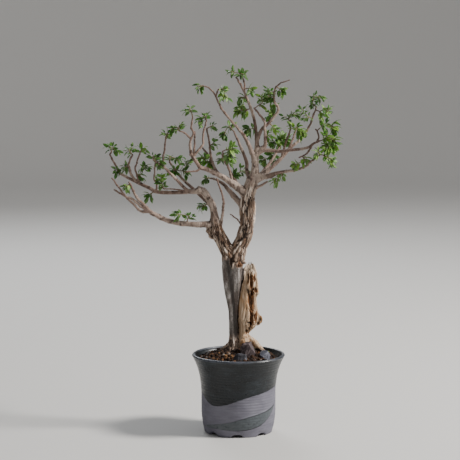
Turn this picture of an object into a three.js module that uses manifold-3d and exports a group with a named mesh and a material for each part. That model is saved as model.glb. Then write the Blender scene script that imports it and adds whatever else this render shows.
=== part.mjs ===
// A bonsai tree in a flared, thrown pot. Millimetres, +Z up, the pot stands on z = 0.
// The wood is one grown piece. Each leafy shoot, stone, and the soil, pot, drain net and clip are separate.
// The origin is moved to the bottom centre of the whole object's box at the end.
import * as THREE from 'three';
import { mergeVertices } from 'three/addons/utils/BufferGeometryUtils.js';
import Module from 'manifold-3d';

const wasm = await Module();
wasm.setup();

// ---- Driving dimensions, mm -------------------------------------------------------------------

const CLEARANCE = 0.3; // air between pieces that meet

const POT_HEIGHT = 95;
const RIM_RADIUS = 56;
const WAIST_RADIUS = 44.7;
const FOOT_RADIUS = 41.2;
const WALL = 3.8;
const FLOOR_THICKNESS = 5;
const FLARE_START = 0.42; // share of the height where the wall begins to flare
const FLARE_POWER = 2.8;
const BELLY_TOP = 0.27; // share of the height where the rounded base meets the waist
const BELLY_POWER = 1.7;
const POT_SIDES = 36;

const FOOT_HEIGHT = 5; // underside of the floor above the table
const FOOT_WIDTH = 5.2;
const FOOT_BEVEL = 0.8;
const NOTCH_COUNT = 8;
const NOTCH_WIDTH = 14;
const NOTCH_HEIGHT = 3.5;
const NOTCH_TURN = -2; // degrees from the front (-Y) to the nearest notch

const DRAIN_RADIUS = 10;
const NET_RADIUS = 15;
const NET_THICKNESS = 0.8;
const NET_PITCH = 5;
const NET_HOLE = 3.6;
const CLIP_WIRE = 0.8; // radius of the aluminium wire
const CLIP_REACH = 17; // how far each leg runs out under the floor

const SOIL_DROP = 7; // soil edge below the rim
const SOIL_MOUND = 14; // rise from the edge to the trunk
const SOIL_LUMP = 0.7;

const TREE_HEIGHT = 341; // from the rim to the top of the crown's outline below
const OUTLINE_HEIGHT = 341; // the height that the outline's own points have
const OUTLINE_RIM = 95; // the outline's heights are above a table, with the rim at this height
const OUTLINE_BORE = 40.9; // inner radius of the pot that the roots and stones were laid out for

const LEAF_LENGTH = 10.5;
const LEAF_WIDTH = 4.6;
const LEAF_THICKNESS = 0.7;
const LEAF_FOLD = 0.9; // the edges' rise above the midrib
const LEAVES_PER_WHORL = 3;
const LEAF_PITCH = 1.4; // between one leaf's base and the next along the shoot
const SHOOT_RADIUS = 0.75;

// ---- The tree's outline -------------------------------------------------------------------------
// name, parent, drift, points. A point is [x, height, radius]; drift is how far the branch moves
// back (+) or forward (-) over its length, from the depth that its parent has where it starts.

const TRUNK = [
  ['vein', null, 0, [[-1, 84, 13], [-3, 100, 11], [-5, 112, 7], [-5.5, 130, 6], [-6, 146, 5.8],
    [-6.5, 158, 7.2], [-7, 176, 9.8], [-7, 190, 11.2], [-7, 207, 12.3]]],
  ['deadwood', 'vein', 2, [[3, 84, 10], [5, 96, 9], [6, 104, 7.5], [4, 116, 6], [8, 126, 8.5],
    [11.6, 137, 12.6],
    [10.8, 152, 11.2], [11, 166, 11], [13, 172, 11.6], [14, 186, 9], [14.5, 198, 6.5],
    [14.5, 201, 4.5]]],
  ['burl', 'vein', -8, [[3, 109, 3], [6, 112, 5.2], [7, 116, 3.4]]],
];

const ROOTS = [
  ['root_right', 'deadwood', -9, [[9, 116, 4.5], [18, 109, 3.8], [24, 104, 3.3], [30, 98, 2.9],
    [36, 92, 2.4]]],
  ['root_left', 'vein', -5, [[-6, 104, 8], [-16, 98, 6], [-25, 91, 4], [-32, 84, 2.6]]],
  ['root_back', 'vein', 32, [[1, 106, 8], [3, 99, 6.5], [6, 92, 4.5], [8, 84, 3]]],
  ['root_front', 'vein', -28, [[-3, 102, 8], [-7, 97, 6], [-11, 90, 4.2], [-13, 83, 3]]],
];

const LIMBS = [
  ['left_limb', 'vein', -3, [[-7, 200, 11.3], [-10, 214, 10.4], [-16, 225, 8.5], [-22, 236, 8],
    [-27, 246, 8.6],
    [-28, 256, 6], [-29.5, 266, 4.6], [-32, 276, 4.3], [-38, 286, 4.5], [-43, 292, 4.5],
    [-50, 294, 3.8]]],
  ['knob', 'left_limb', -1, [[-29, 246, 7.5], [-37, 244, 4.4]]],
  ['right_limb', 'vein', 0, [[-6, 200, 11.5], [-3, 213, 12], [2, 226, 9.2], [7, 237, 9.5],
    [10, 250, 8.8],
    [11, 268, 9.5], [11.5, 286, 9], [14, 296, 8.5], [17, 306, 7], [19.5, 316, 5], [20, 326, 3.9],
    [21, 336, 3.5], [23, 342, 3.2]]],
];

const BRANCHES = [
  ['a', 'left_limb', 14, [[-46, 293, 4], [-52, 291.5, 3], [-62, 290.4, 2.5], [-80, 289.5, 2.3],
    [-98, 290.5, 2.3],
    [-106, 294.5, 2.2], [-118, 300, 2.1], [-139, 310.5, 1.6], [-144, 316, 1.35], [-150, 327, 1.1],
    [-154, 334, 1],
    [-152, 338, 0.8]]],
  ['a_upper', 'a', -8, [[-121, 301.5, 1.8], [-128, 311, 1.6], [-131, 324, 1.2], [-126, 335, 1]]],
  ['a_inner', 'a', -13, [[-118, 300, 1.4], [-122, 313, 1.1], [-123, 320, 1], [-117, 338, 0.8]]],
  ['b', 'left_limb', -20, [[-28, 250, 4.5], [-40, 252, 3.6], [-52, 252, 3.3], [-70, 253.5, 3.2],
    [-84, 257, 3],
    [-95, 262, 2.9], [-105, 268, 2.6], [-112, 276, 2], [-122, 287, 1.5], [-127, 299, 1.2],
    [-130, 304, 1]]],
  ['b_outer', 'b', -8, [[-107, 269.5, 2], [-115, 274, 1.7], [-127, 284, 1.5], [-134, 287.5, 1.3],
    [-150, 309, 0.8]]],
  ['b_low', 'b', 12, [[-106, 268.5, 1.9], [-117, 268.5, 1.6], [-127, 278, 1.4], [-137, 286.5, 1.2],
    [-149, 293, 0.9]]],
  ['c', 'a', -16, [[-60, 290.5, 2.4], [-66, 297, 2], [-84, 316.5, 1.5], [-99, 328, 1],
    [-101, 331, 0.9]]],
  ['c_tall', 'c', 7, [[-88, 320, 1.4], [-90, 327, 1.2], [-88, 343, 1.1], [-87, 355, 0.8]]],
  ['c_thin', 'a', 8, [[-99, 290.7, 1.2], [-98, 299, 1], [-101, 306, 0.95], [-100, 328, 0.8]]],
  ['c_low', 'a', -9, [[-62, 290.5, 1], [-75, 294, 0.8], [-88, 294.5, 0.7]]],
  ['d', 'right_limb', -20, [[10, 288, 6.2], [2, 294, 4.5], [-6, 300, 4], [-16, 307, 3.5],
    [-28, 314, 3], [-40, 319, 2.6],
    [-45, 320.5, 2.4], [-49, 326, 2.2], [-56, 336.5, 2]]],
  ['d_tall', 'd', -6, [[-56, 335.5, 1.9], [-57, 352, 1.4], [-53, 363, 1.2], [-56, 369, 1.1],
    [-54, 380, 0.9]]],
  ['d_side', 'd_tall', -6, [[-56, 355, 1.3], [-63, 362, 1], [-70, 365, 0.8]]],
  ['d_behind', 'd', 11, [[-53, 332, 1.6], [-52, 349, 1.1], [-52, 363, 0.9]]],
  ['d_right', 'd', 6, [[-54, 334, 1.7], [-45, 344, 1.4], [-42, 349, 1.3], [-42, 360, 1.15],
    [-38, 375, 0.85]]],
  ['d_mid', 'd', 15, [[-24, 312.3, 2], [-28, 319, 1.7], [-33, 332, 1.4], [-34, 342, 1.2],
    [-38, 366, 0.95]]],
  ['d_fork', 'd_mid', 9, [[-32, 329, 1.4], [-36, 334, 1.2], [-43, 343, 1]]],
  ['d_near', 'd', -10, [[-7, 301, 1.8], [-11, 317, 1.2], [-18, 331, 1], [-19, 340, 0.85]]],
  ['d_low', 'd', -6, [[-45, 320.5, 1.4], [-50, 317, 1.1], [-62, 316, 0.75]]],
  ['e', 'right_limb', 36, [[9, 268, 4.4], [3, 275, 3.8], [-12, 291.5, 2.7], [-17, 297, 2.2],
    [-27, 303, 1.5],
    [-34, 304, 1]]],
  ['f', 'left_limb', -10, [[-25, 243, 2.8], [-21, 252, 1.9], [-18.5, 272, 1.4], [-18.5, 284, 1.2],
    [-26, 308, 0.8]]],
  ['f_low', 'right_limb', -9, [[8, 246, 1.2], [-2, 258, 0.85], [-10, 265, 0.7]]],
  ['h', 'right_limb', 25, [[16, 302, 3.2], [10, 315, 2.4], [9.5, 326, 2.2], [1, 347, 1.5],
    [-5, 361, 1]]],
  ['j', 'right_limb', -12, [[20, 327, 3.3], [16, 338, 2.7], [7, 357, 2.1], [-1, 367, 1.6],
    [-17, 386, 1.3],
    [-24, 398, 1.1], [-28, 408, 0.95]]],
  ['j_left', 'j', -4, [[-27.5, 406, 1], [-34, 414, 0.85], [-42, 417.5, 0.75]]],
  ['j_right', 'j', 4, [[-27, 405, 1], [-24, 413, 0.8]]],
  ['k', 'right_limb', 7, [[22.5, 340.5, 3], [21.5, 354, 2.2], [19, 375, 1.8], [13, 395, 1.6],
    [1, 421, 1.1],
    [-3, 427, 0.9]]],
  ['k_tip', 'k', 6, [[7, 409, 1.3], [7, 419, 1], [4, 428, 0.8]]],
  ['m', 'right_limb', -5, [[22, 339, 3], [30, 344, 2.4], [32, 350, 2.1], [31, 365, 1.5],
    [30, 376, 1.4], [18, 391, 1]]],
  ['l', 'k', -14, [[21.5, 352, 2.3], [28, 366, 1.9], [35, 372, 1.8], [47, 388, 1.5], [42, 400, 1.3],
    [43, 412, 1.1],
    [49, 420, 0.8], [60, 424, 0.6]]],
  ['n', 'right_limb', -22, [[21.5, 337, 3.1], [31, 340.5, 2.4], [50, 339.5, 2.1], [60, 341, 2],
    [80, 344, 1.6],
    [90, 350, 1.3], [96, 353, 1]]],
  ['n_down', 'n', -5, [[87, 348.5, 1.2], [80, 337, 0.95], [71, 333, 0.8]]],
  ['n_mid', 'n', 5, [[59, 341, 1.5], [65, 356, 1.1], [67, 361, 1]]],
  ['n_up', 'n', 8, [[92, 351, 1.2], [95, 358, 1], [91, 366, 0.85]]],
  ['p', 'right_limb', 26, [[17, 304, 5.6], [26, 310, 3.6], [38, 318, 2.7], [53, 332, 2.2],
    [62, 342, 1.9],
    [74, 352, 1.6], [84, 365, 1.3], [94, 391, 0.9]]],
  ['p_up', 'p', -9, [[52, 331, 1.6], [54, 341, 1.2], [61.5, 364, 1], [60, 373, 0.8]]],
  ['p_low', 'right_limb', -28, [[19, 307, 5.2], [30, 309, 3.6], [38, 311, 3.2], [49, 315, 1.9],
    [73, 319.5, 1.5],
    [86, 329, 1.2], [96, 337, 0.8]]],
  ['q', 'right_limb', -15, [[14, 292, 2.4], [26, 298.5, 1.5], [34, 304, 1]]],
  ['back_right', 'right_limb', 54, [[14, 293, 3.4], [24, 306, 2.5], [40, 325, 1.7], [52, 343, 1]]],
  ['back_mid', 'right_limb', 48, [[11, 277, 3.2], [3, 291, 2.4], [-9, 310, 1.7], [-17, 328, 1]]],
  ['back_left', 'left_limb', 46, [[-31, 273, 2.8], [-50, 289, 2.1], [-72, 308, 1.5], [-84, 324, 1]]],
];

// Each leafy shoot is a list of whorl centres, [x, height], from its twig outwards.
const SHOOTS = [
  [[-154, 344], [-145, 339]], [[-146, 314]], [[-136, 321]], [[-131, 342]], [[-133, 298]],
  [[-116, 312], [-111, 322]], [[-114, 343]], [[-108, 286]], [[-101, 334], [-94, 324]], [[-91, 300],
    [-93, 309]],
  [[-85, 361]], [[-78, 316], [-64, 314], [-63, 326]], [[-60, 263], [-74, 265]], [[-40, 304]],
    [[-43, 272]],
  [[-58, 392]], [[-72, 369], [-79, 367]], [[-40, 382], [-47, 377]], [[-30, 370]], [[-28, 347]],
  [[-36, 326], [-43, 331]], [[-9, 342], [-14, 335]], [[-3, 309], [6, 314]], [[-12, 367], [-18, 358]],
  [[6, 386], [1, 391]], [[4, 402]], [[15, 414]], [[13, 366]], [[-47, 416]], [[-18, 413], [-17, 405]],
  [[4, 431], [-9, 433]], [[28, 397], [27, 404]], [[35, 404], [37, 411]], [[51, 411]], [[38, 386]],
    [[44, 366]],
  [[36, 357]], [[43, 331], [30, 325]], [[60, 379], [67, 385]], [[69, 368], [75, 361]],
  [[83, 380], [76, 389]], [[89, 396], [92, 404], [100, 401]], [[102, 384], [109, 386]], [[102, 371],
    [114, 369]],
  [[104, 357], [113, 352], [106, 345]], [[92, 341]], [[104, 334], [111, 330]], [[78, 330], [66, 325]],
  [[52, 311], [42, 305]], [[45, 348], [53, 349], [60, 351]], [[-20, 330], [-8, 331]], [[-84, 330],
    [-74, 326]],
];

// ---- Geometry helpers ---------------------------------------------------------------------------

function seededRandom(seed) {
  let state = seed;
  return () => {
    state = (state * 1664525 + 1013904223) % 4294967296;
    return state / 4294967296;
  };
}

function solidOf(geometry) {
  const bare = geometry.clone();
  bare.deleteAttribute('normal');
  bare.deleteAttribute('uv');
  const merged = mergeVertices(bare, 1e-5);
  const vertProperties = merged.attributes.position.array;
  const mesh = { numProp: 3, vertProperties, triVerts: merged.index.array };
  const solid = new wasm.Manifold(new wasm.Mesh(mesh));
  return solid.volume() < 0 ? solidOf(flipped(merged)) : solid;
}

function flipped(geometry) {
  const index = geometry.index.array;
  for (let i = 0; i < index.length; i += 3) {
    [index[i], index[i + 1]] = [index[i + 1], index[i]];
  }
  return geometry;
}

function geometryOf(solid) {
  const mesh = solid.getMesh();
  const geometry = new THREE.BufferGeometry();
  geometry.setAttribute('position', new THREE.BufferAttribute(mesh.vertProperties, 3));
  geometry.setIndex(new THREE.BufferAttribute(mesh.triVerts, 1));
  geometry.computeVertexNormals();
  return geometry;
}

// A closed solid of revolution about Z through [radius, z] points.
function turned(profile, sides = POT_SIDES) {
  const points = profile.map(([radius, z]) => new THREE.Vector2(radius, z));
  return new THREE.LatheGeometry(points, sides).rotateX(Math.PI / 2);
}

// A closed tapering tube through knots { at, radius }. grow makes it fatter and longer, as a cutter.
function tube(knots, sides, grow = 0) {
  const count = knots.length;
  const tangents = knots.map((knot, i) => {
    const before = knots[Math.max(i - 1, 0)].at;
    const after = knots[Math.min(i + 1, count - 1)].at;
    return after.clone().sub(before).normalize();
  });
  const side = Math.abs(tangents[0].y) < 0.9 ? new THREE.Vector3(0, 1, 0) : new THREE.Vector3(1, 0, 0);
  const across = side.cross(tangents[0]).normalize();
  const positions = [];
  knots.forEach((knot, i) => {
    if (i > 0) {
      across.applyQuaternion(new THREE.Quaternion().setFromUnitVectors(tangents[i - 1], tangents[i]));
    }
    const up = tangents[i].clone().cross(across);
    const shift = i === 0 ? -grow : i === count - 1 ? grow : 0;
    const centre = knot.at.clone().addScaledVector(tangents[i], shift);
    const radius = knot.radius + grow / Math.cos(Math.PI / sides);
    for (let k = 0; k < sides; k++) {
      const angle = (2 * Math.PI * k) / sides;
      const corner = centre.clone().addScaledVector(across, radius * Math.cos(angle));
      positions.push(...corner.addScaledVector(up, radius * Math.sin(angle)));
    }
  });
  const index = [];
  for (let i = 0; i < count - 1; i++) {
    for (let k = 0; k < sides; k++) {
      const a = i * sides + k;
      const b = i * sides + ((k + 1) % sides);
      index.push(a, b, b + sides, a, b + sides, a + sides);
    }
  }
  const last = (count - 1) * sides;
  for (let k = 1; k < sides - 1; k++) {
    index.push(0, k + 1, k, last, last + k, last + k + 1);
  }
  const geometry = new THREE.BufferGeometry();
  geometry.setAttribute('position', new THREE.Float32BufferAttribute(positions, 3));
  geometry.setIndex(index);
  return geometry;
}

// ---- Pot ------------------------------------------------------------------------------------------

const flareBottom = POT_HEIGHT * FLARE_START;
const bellyTop = POT_HEIGHT * BELLY_TOP;
const floorTop = FOOT_HEIGHT + FLOOR_THICKNESS;

function outerRadius(z) {
  const belly = 1 - Math.pow(1 - Math.min(z / bellyTop, 1), BELLY_POWER);
  const flare = Math.pow(Math.max(z - flareBottom, 0) / (POT_HEIGHT - WALL / 2 - flareBottom), FLARE_POWER);
  return FOOT_RADIUS + (WAIST_RADIUS - FOOT_RADIUS) * belly + (RIM_RADIUS - WAIST_RADIUS) * flare;
}

const innerRadius = (z) => outerRadius(z) - WALL;

function heights(low, high, count) {
  return Array.from({ length: count }, (_, i) => low + ((high - low) * i) / (count - 1));
}

// The soil's side follows the same heights as the wall that it fills.
const soilEdge = POT_HEIGHT - SOIL_DROP;
const wallHeights = heights(floorTop, soilEdge, 5);

function potProfile() {
  const lip = WALL / 2;
  const outer = heights(FOOT_BEVEL, POT_HEIGHT - lip, 9).map((z) => [outerRadius(z), z]);
  const rim = [35, 90, 145].map((degrees) => {
    const angle = THREE.MathUtils.degToRad(degrees);
    const centre = outerRadius(POT_HEIGHT - lip) - lip;
    return [centre + lip * Math.cos(angle), POT_HEIGHT - lip + lip * Math.sin(angle)];
  });
  const inner = [POT_HEIGHT - lip, ...wallHeights.toReversed()].map((z) => [innerRadius(z), z]);
  const footInner = FOOT_RADIUS - FOOT_WIDTH;
  const under = [[0, FOOT_HEIGHT], [footInner, FOOT_HEIGHT], [footInner, 0],
    [FOOT_RADIUS - FOOT_BEVEL, 0]];
  return [...under, ...outer, ...rim, ...inner, [0, floorTop]];
}

// The arched notch that runs out through the foot ring, before it is turned to its place.
function notchCutter() {
  const half = NOTCH_WIDTH / 2;
  const arch = new THREE.Shape();
  arch.moveTo(-half, -FOOT_BEVEL);
  arch.lineTo(half, -FOOT_BEVEL);
  arch.lineTo(half, 0);
  arch.quadraticCurveTo(half * 0.8, NOTCH_HEIGHT, 0, NOTCH_HEIGHT);
  arch.quadraticCurveTo(-half * 0.8, NOTCH_HEIGHT, -half, 0);
  const depth = FOOT_WIDTH * 3;
  const geometry = new THREE.ExtrudeGeometry(arch, { depth, bevelEnabled: false, curveSegments: 3 });
  // Extruded along +Z with the arch in XY: stood up so that the arch rises along Z and runs along -Y.
  return geometry.rotateX(Math.PI / 2).translate(0, -(FOOT_RADIUS - FOOT_WIDTH * 1.8), 0);
}

function makePot() {
  let pot = solidOf(turned(potProfile()));
  const drain = turned([[0, FOOT_HEIGHT - 1], [DRAIN_RADIUS, FOOT_HEIGHT - 1],
    [DRAIN_RADIUS, floorTop + 1],
    [0, floorTop + 1]], 24);
  pot = pot.subtract(solidOf(drain));
  for (let i = 0; i < NOTCH_COUNT; i++) {
    const angle = THREE.MathUtils.degToRad(NOTCH_TURN) + (2 * Math.PI * i) / NOTCH_COUNT;
    pot = pot.subtract(solidOf(notchCutter().rotateZ(angle)));
  }
  return pot;
}

// ---- Drain net and its wire clip ------------------------------------------------------------------

const netBottom = floorTop + CLEARANCE;
const netTop = netBottom + NET_THICKNESS;
const clipTop = netTop + CLEARANCE + 2 * CLIP_WIRE;

function makeNet() {
  const disc = [[0, netBottom], [NET_RADIUS, netBottom], [NET_RADIUS, netTop], [0, netTop]];
  let net = solidOf(turned(disc, 16));
  for (let column = -1.5; column <= 1.5; column++) {
    for (let row = -1.5; row <= 1.5; row++) {
      const hole = new THREE.BoxGeometry(NET_HOLE, NET_HOLE, 4 * NET_THICKNESS);
      net = net.subtract(solidOf(hole.translate(column * NET_PITCH, row * NET_PITCH, netBottom)));
    }
  }
  return net;
}

// The clip's legs go down through the outermost net holes that lie over the drain hole.
function clipLeg(row) {
  const room = Math.sqrt(Math.pow(DRAIN_RADIUS - CLIP_WIRE - CLEARANCE, 2) - row * row);
  const column = Math.min(Math.floor(room / NET_PITCH - 0.5), 1) + 0.5;
  return column * NET_PITCH;
}

function makeClip() {
  const row = 0.5 * NET_PITCH;
  const leg = clipLeg(row);
  const low = FOOT_HEIGHT - CLEARANCE - CLIP_WIRE;
  const high = clipTop - CLIP_WIRE;
  const route = [[-CLIP_REACH, low], [-leg - 2, low], [-leg, low + 1.2], [-leg, high - 0.6],
    [-leg + 1.4, high],
    [leg - 1.4, high], [leg, high - 0.6], [leg, low + 1.2], [leg + 2, low], [CLIP_REACH, low]];
  const knots = route.map(([x, z]) => ({ at: new THREE.Vector3(x, row, z), radius: CLIP_WIRE }));
  return solidOf(tube(knots, 6));
}

// ---- Skeleton of the tree ---------------------------------------------------------------------------

const treeScale = TREE_HEIGHT / OUTLINE_HEIGHT;
const potFit = (WAIST_RADIUS - WALL) / OUTLINE_BORE; // keeps the roots and stones inside the pot

function grownKnot(x, depth, height, radius, spread = 1) {
  const at = new THREE.Vector3(x * spread, depth * spread, height - OUTLINE_RIM).multiplyScalar(treeScale);
  at.z += POT_HEIGHT;
  return { at, radius: radius * treeScale, x, depth, height };
}

const skeleton = new Map();

function depthAt(parent, [x, height]) {
  let best = null;
  for (const knot of skeleton.get(parent).knots) {
    const gap = Math.hypot(knot.x - x, knot.height - height);
    if (best === null || gap < best.gap) {
      best = { gap, depth: knot.depth };
    }
  }
  return best.depth;
}

function grow([name, parent, drift, outline], sides, spread = 1) {
  const start = parent ? depthAt(parent, outline[0]) : 0;
  const last = outline.length - 1;
  const knots = outline.map(([x, height, radius], i) => {
    return grownKnot(x, start + (drift * i) / last, height, radius, spread);
  });
  skeleton.set(name, { knots, sides });
}

TRUNK.forEach((branch) => grow(branch, 10));
ROOTS.forEach((branch) => grow(branch, 7, potFit));
LIMBS.forEach((branch) => grow(branch, 10));
BRANCHES.forEach((branch) => grow(branch, branch[3][0][2] > 3.8 ? 7 : 5));

const buried = [...TRUNK, ...ROOTS].map(([name]) => skeleton.get(name));
const branchSolids = [...skeleton.values()].map(({ knots, sides }) => solidOf(tube(knots, sides)));

function makeWood() {
  return wasm.Manifold.union(branchSolids);
}

// ---- Stones and soil ----------------------------------------------------------------------------------

function soilHeight(x, y) {
  const share = Math.min(Math.hypot(x, y) / innerRadius(soilEdge), 1);
  return soilEdge + SOIL_MOUND * Math.pow(1 - share * share, 1.4);
}

// name, x, y, sizes along x, y and z, how much of the height stands proud, and a seed for the facets
const STONES = [
  ['stone_dark', 12, -21, 20, 13, 25, 0.6, 11, 0x4a4149],
  ['stone_blue', 31, -18, 15.5, 11, 16, 0.53, 23, 0x6d7480],
  ['stone_small', 2.5, -34, 18, 8.5, 14, 0.55, 37, 0x6a6660],
];

function stoneGeometry([, x, y, width, depth, height, proud, seed], grow = 0) {
  const random = seededRandom(seed);
  const lumps = Array.from({ length: 5 }, () => {
    const turn = 2 * Math.PI * random();
    const lift = 2 * random() - 1;
    const level = Math.sqrt(1 - lift * lift);
    const way = new THREE.Vector3(Math.cos(turn) * level, Math.sin(turn) * level, lift);
    return { way, size: 0.3 + 0.3 * random() };
  });
  const ball = new THREE.IcosahedronGeometry(0.5, 1);
  const geometry = mergeVertices(ball.deleteAttribute('normal').deleteAttribute('uv'));
  const places = geometry.attributes.position;
  const point = new THREE.Vector3();
  for (let i = 0; i < places.count; i++) {
    point.fromBufferAttribute(places, i);
    const flat = lumps.reduce((sum, lump) => {
      return sum - lump.size * Math.max(point.clone().normalize().dot(lump.way) - 0.6, 0);
    }, 1);
    point.multiplyScalar(flat);
    places.setXYZ(i, point.x, point.y, point.z);
  }
  const [px, py] = [x * potFit, y * potFit];
  const pz = soilHeight(px, py) + height * (proud - 0.5);
  return geometry.scale(width + 2 * grow, depth + 2 * grow, height + 2 * grow).translate(px, py, pz);
}

function soilGeometry() {
  const rim = innerRadius(soilEdge) - CLEARANCE;
  const wall = wallHeights.map((z) => [innerRadius(z) - CLEARANCE, Math.max(z, floorTop + CLEARANCE)]);
  const surface = [0.86, 0.68, 0.48, 0.28].map((share) => [rim * share, soilHeight(rim * share, 0)]);
  const pocket = NET_RADIUS + CLEARANCE;
  const pocketTop = clipTop + CLEARANCE;
  const profile = [[0, pocketTop], [pocket, pocketTop],
    [pocket, floorTop + CLEARANCE], ...wall, ...surface,
    [0, soilHeight(0, 0)]];
  const geometry = turned(profile);
  const places = geometry.attributes.position;
  for (let i = 0; i < places.count; i++) {
    const [x, y, z] = [places.getX(i), places.getY(i), places.getZ(i)];
    if (z > soilEdge + CLEARANCE) {
      places.setZ(i, z + SOIL_LUMP * Math.sin(x * 0.47) * Math.sin(y * 0.53 + 1));
    }
  }
  return geometry;
}

function makeSoil() {
  let soil = solidOf(soilGeometry());
  for (const { knots, sides } of buried) {
    soil = soil.subtract(solidOf(tube(knots, sides, CLEARANCE)));
  }
  for (const stone of STONES) {
    soil = soil.subtract(solidOf(stoneGeometry(stone, CLEARANCE * 1.6)));
  }
  return soil.decompose().sort((one, two) => two.volume() - one.volume())[0];
}

// ---- Leafy shoots -------------------------------------------------------------------------------------

// A folded leaf as a thin closed solid: base at the origin, tip along +X, upper side +Z.
function leafGeometry(length, width, grow = 0) {
  const half = width / 2 + grow;
  const thick = LEAF_THICKNESS / 2 + grow;
  const outline = [[-grow, 0, 0], [length * 0.45, -half, LEAF_FOLD], [length + grow, 0, -LEAF_FOLD],
    [length * 0.45, half, LEAF_FOLD]];
  const centre = length * 0.5;
  const positions = [...outline.flat(), centre, 0, thick, centre, 0, -thick];
  const [top, bottom] = [outline.length, outline.length + 1];
  const index = [];
  for (let k = 0; k < outline.length; k++) {
    const next = (k + 1) % outline.length;
    index.push(k, next, top, next, k, bottom);
  }
  const geometry = new THREE.BufferGeometry();
  geometry.setAttribute('position', new THREE.Float32BufferAttribute(positions, 3));
  geometry.setIndex(index);
  return geometry;
}

// What is in the way: every solid grown so far, with its box.
const grown = [];

function remember(solid, owner) {
  const { min, max } = solid.boundingBox();
  grown.push({ solid, owner, min, max });
}

function isClear(solid, owner) {
  const { min, max } = solid.boundingBox();
  return grown.every((other) => {
    const apart = [0, 1, 2].some((axis) => other.max[axis] < min[axis] || other.min[axis] > max[axis]);
    return other.owner === owner || apart || solid.intersect(other.solid).isEmpty();
  });
}

// The place on the twigs nearest to a whorl, by its x and height.
function nearestTwig(x, height) {
  let best = null;
  for (const { knots } of skeleton.values()) {
    for (let i = 0; i < knots.length - 1; i++) {
      for (const share of [0, 0.25, 0.5, 0.75, 1]) {
        const spot = knots[i].at.clone().lerp(knots[i + 1].at, share);
        const radius = THREE.MathUtils.lerp(knots[i].radius, knots[i + 1].radius, share);
        const across = THREE.MathUtils.lerp(knots[i].x, knots[i + 1].x, share) - x;
        const up = THREE.MathUtils.lerp(knots[i].height, knots[i + 1].height, share) - height;
        const gap = Math.hypot(across, up) + radius * 3;
        if (best === null || gap < best.gap) {
          const depth = THREE.MathUtils.lerp(knots[i].depth, knots[i + 1].depth, share);
          best = { gap, at: spot, radius, depth };
        }
      }
    }
  }
  return best;
}

// One leaf of a whorl, turned a little at a time until it has room.
function growLeaf(centre, axis, turn, lean, length, owner) {
  const width = LEAF_WIDTH * (length / LEAF_LENGTH);
  const across = new THREE.Vector3(axis.z, 0.3, -axis.x).cross(axis).normalize();
  for (let attempt = 0; attempt < 9; attempt++) {
    const swing = turn + attempt * 0.7;
    const way = across.clone().applyAxisAngle(axis, swing);
    const along = axis.clone().multiplyScalar(Math.cos(lean)).addScaledVector(way, Math.sin(lean));
    const side = new THREE.Vector3(0, 0, 1).cross(along).normalize();
    const up = along.clone().cross(side);
    const place = new THREE.Matrix4().makeBasis(along, side, up).setPosition(centre);
    const wide = solidOf(leafGeometry(length, width, CLEARANCE).applyMatrix4(place));
    if (isClear(wide, owner)) {
      return solidOf(leafGeometry(length, width).applyMatrix4(place));
    }
  }
  return null;
}

// The shoot's own stem from its twig through its whorls, moved in depth and begun further from the
// twig's middle until it has room.
function growStem(whorls, random, owner) {
  const twig = nearestTwig(...whorls[0]);
  const slope = (random() - 0.5) * 8;
  for (const shift of [0, 3, -3, 6, -6, 9, -9, 12, -12]) {
    const knots = whorls.map(([x, height], i) => {
      return grownKnot(x, twig.depth + shift + slope * (i + 1), height, SHOOT_RADIUS);
    });
    const way = knots[0].at.clone().sub(twig.at);
    const reach = way.length() - 2;
    way.normalize();
    for (let gap = twig.radius + CLEARANCE; gap < Math.min(reach, twig.radius + 6); gap += 0.4) {
      const start = { at: twig.at.clone().addScaledVector(way, gap), radius: SHOOT_RADIUS * 1.2 };
      const stem = [start, ...knots];
      if (isClear(solidOf(tube(stem, 4, CLEARANCE / 2)), owner)) {
        return stem;
      }
    }
  }
  throw new Error(`no room for ${owner}`);
}

function makeShoot(whorls, number) {
  const owner = `shoot_${String(number + 1).padStart(2, '0')}`;
  const random = seededRandom(number * 7919 + 17);
  const stem = growStem(whorls, random, owner);
  const pieces = [solidOf(tube(stem, 4))];
  for (let i = 1; i < stem.length; i++) {
    const axis = stem[i].at.clone().sub(stem[i - 1].at);
    const pitch = Math.min(LEAF_PITCH, (axis.length() * 0.8) / LEAVES_PER_WHORL);
    axis.normalize();
    const first = random() * 2 * Math.PI;
    for (let k = 0; k < LEAVES_PER_WHORL; k++) {
      const turn = first + k * 2.4;
      const lean = 0.75 + 0.6 * random();
      const length = LEAF_LENGTH * (0.8 + 0.3 * random());
      const centre = stem[i].at.clone().addScaledVector(axis, -pitch * (k + 0.5));
      const leaf = growLeaf(centre, axis, turn, lean, length, owner);
      if (leaf) {
        pieces.push(leaf);
      }
    }
  }
  const shoot = wasm.Manifold.union(pieces);
  remember(shoot, owner);
  return [owner, shoot];
}

// ---- Assembly -----------------------------------------------------------------------------------

const group = new THREE.Group();
const plant = new THREE.Group();
group.add(plant);

function addPiece(name, geometry, colour, roughness, metalness = 0) {
  const material = new THREE.MeshStandardMaterial({ color: colour, roughness, metalness });
  const mesh = new THREE.Mesh(geometry, material);
  mesh.name = name;
  plant.add(mesh);
}

addPiece('pot', geometryOf(makePot()), 0x2b2e2d, 0.45);
addPiece('drain_net', geometryOf(makeNet()), 0x20231f, 0.7);
addPiece('net_clip', geometryOf(makeClip()), 0xa8a9ab, 0.35, 0.9);
addPiece('soil', geometryOf(makeSoil()), 0x4b3527, 0.95);
for (const stone of STONES) {
  addPiece(stone[0], geometryOf(solidOf(stoneGeometry(stone))), stone[8], 0.85);
}
addPiece('trunk_and_branches', geometryOf(makeWood()), 0x9a8873, 0.85);
branchSolids.forEach((solid) => remember(solid, 'wood'));
SHOOTS.forEach((whorls, number) => {
  const [name, shoot] = makeShoot(whorls, number);
  addPiece(name, geometryOf(shoot), 0x6f8f3c, 0.6);
});

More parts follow.
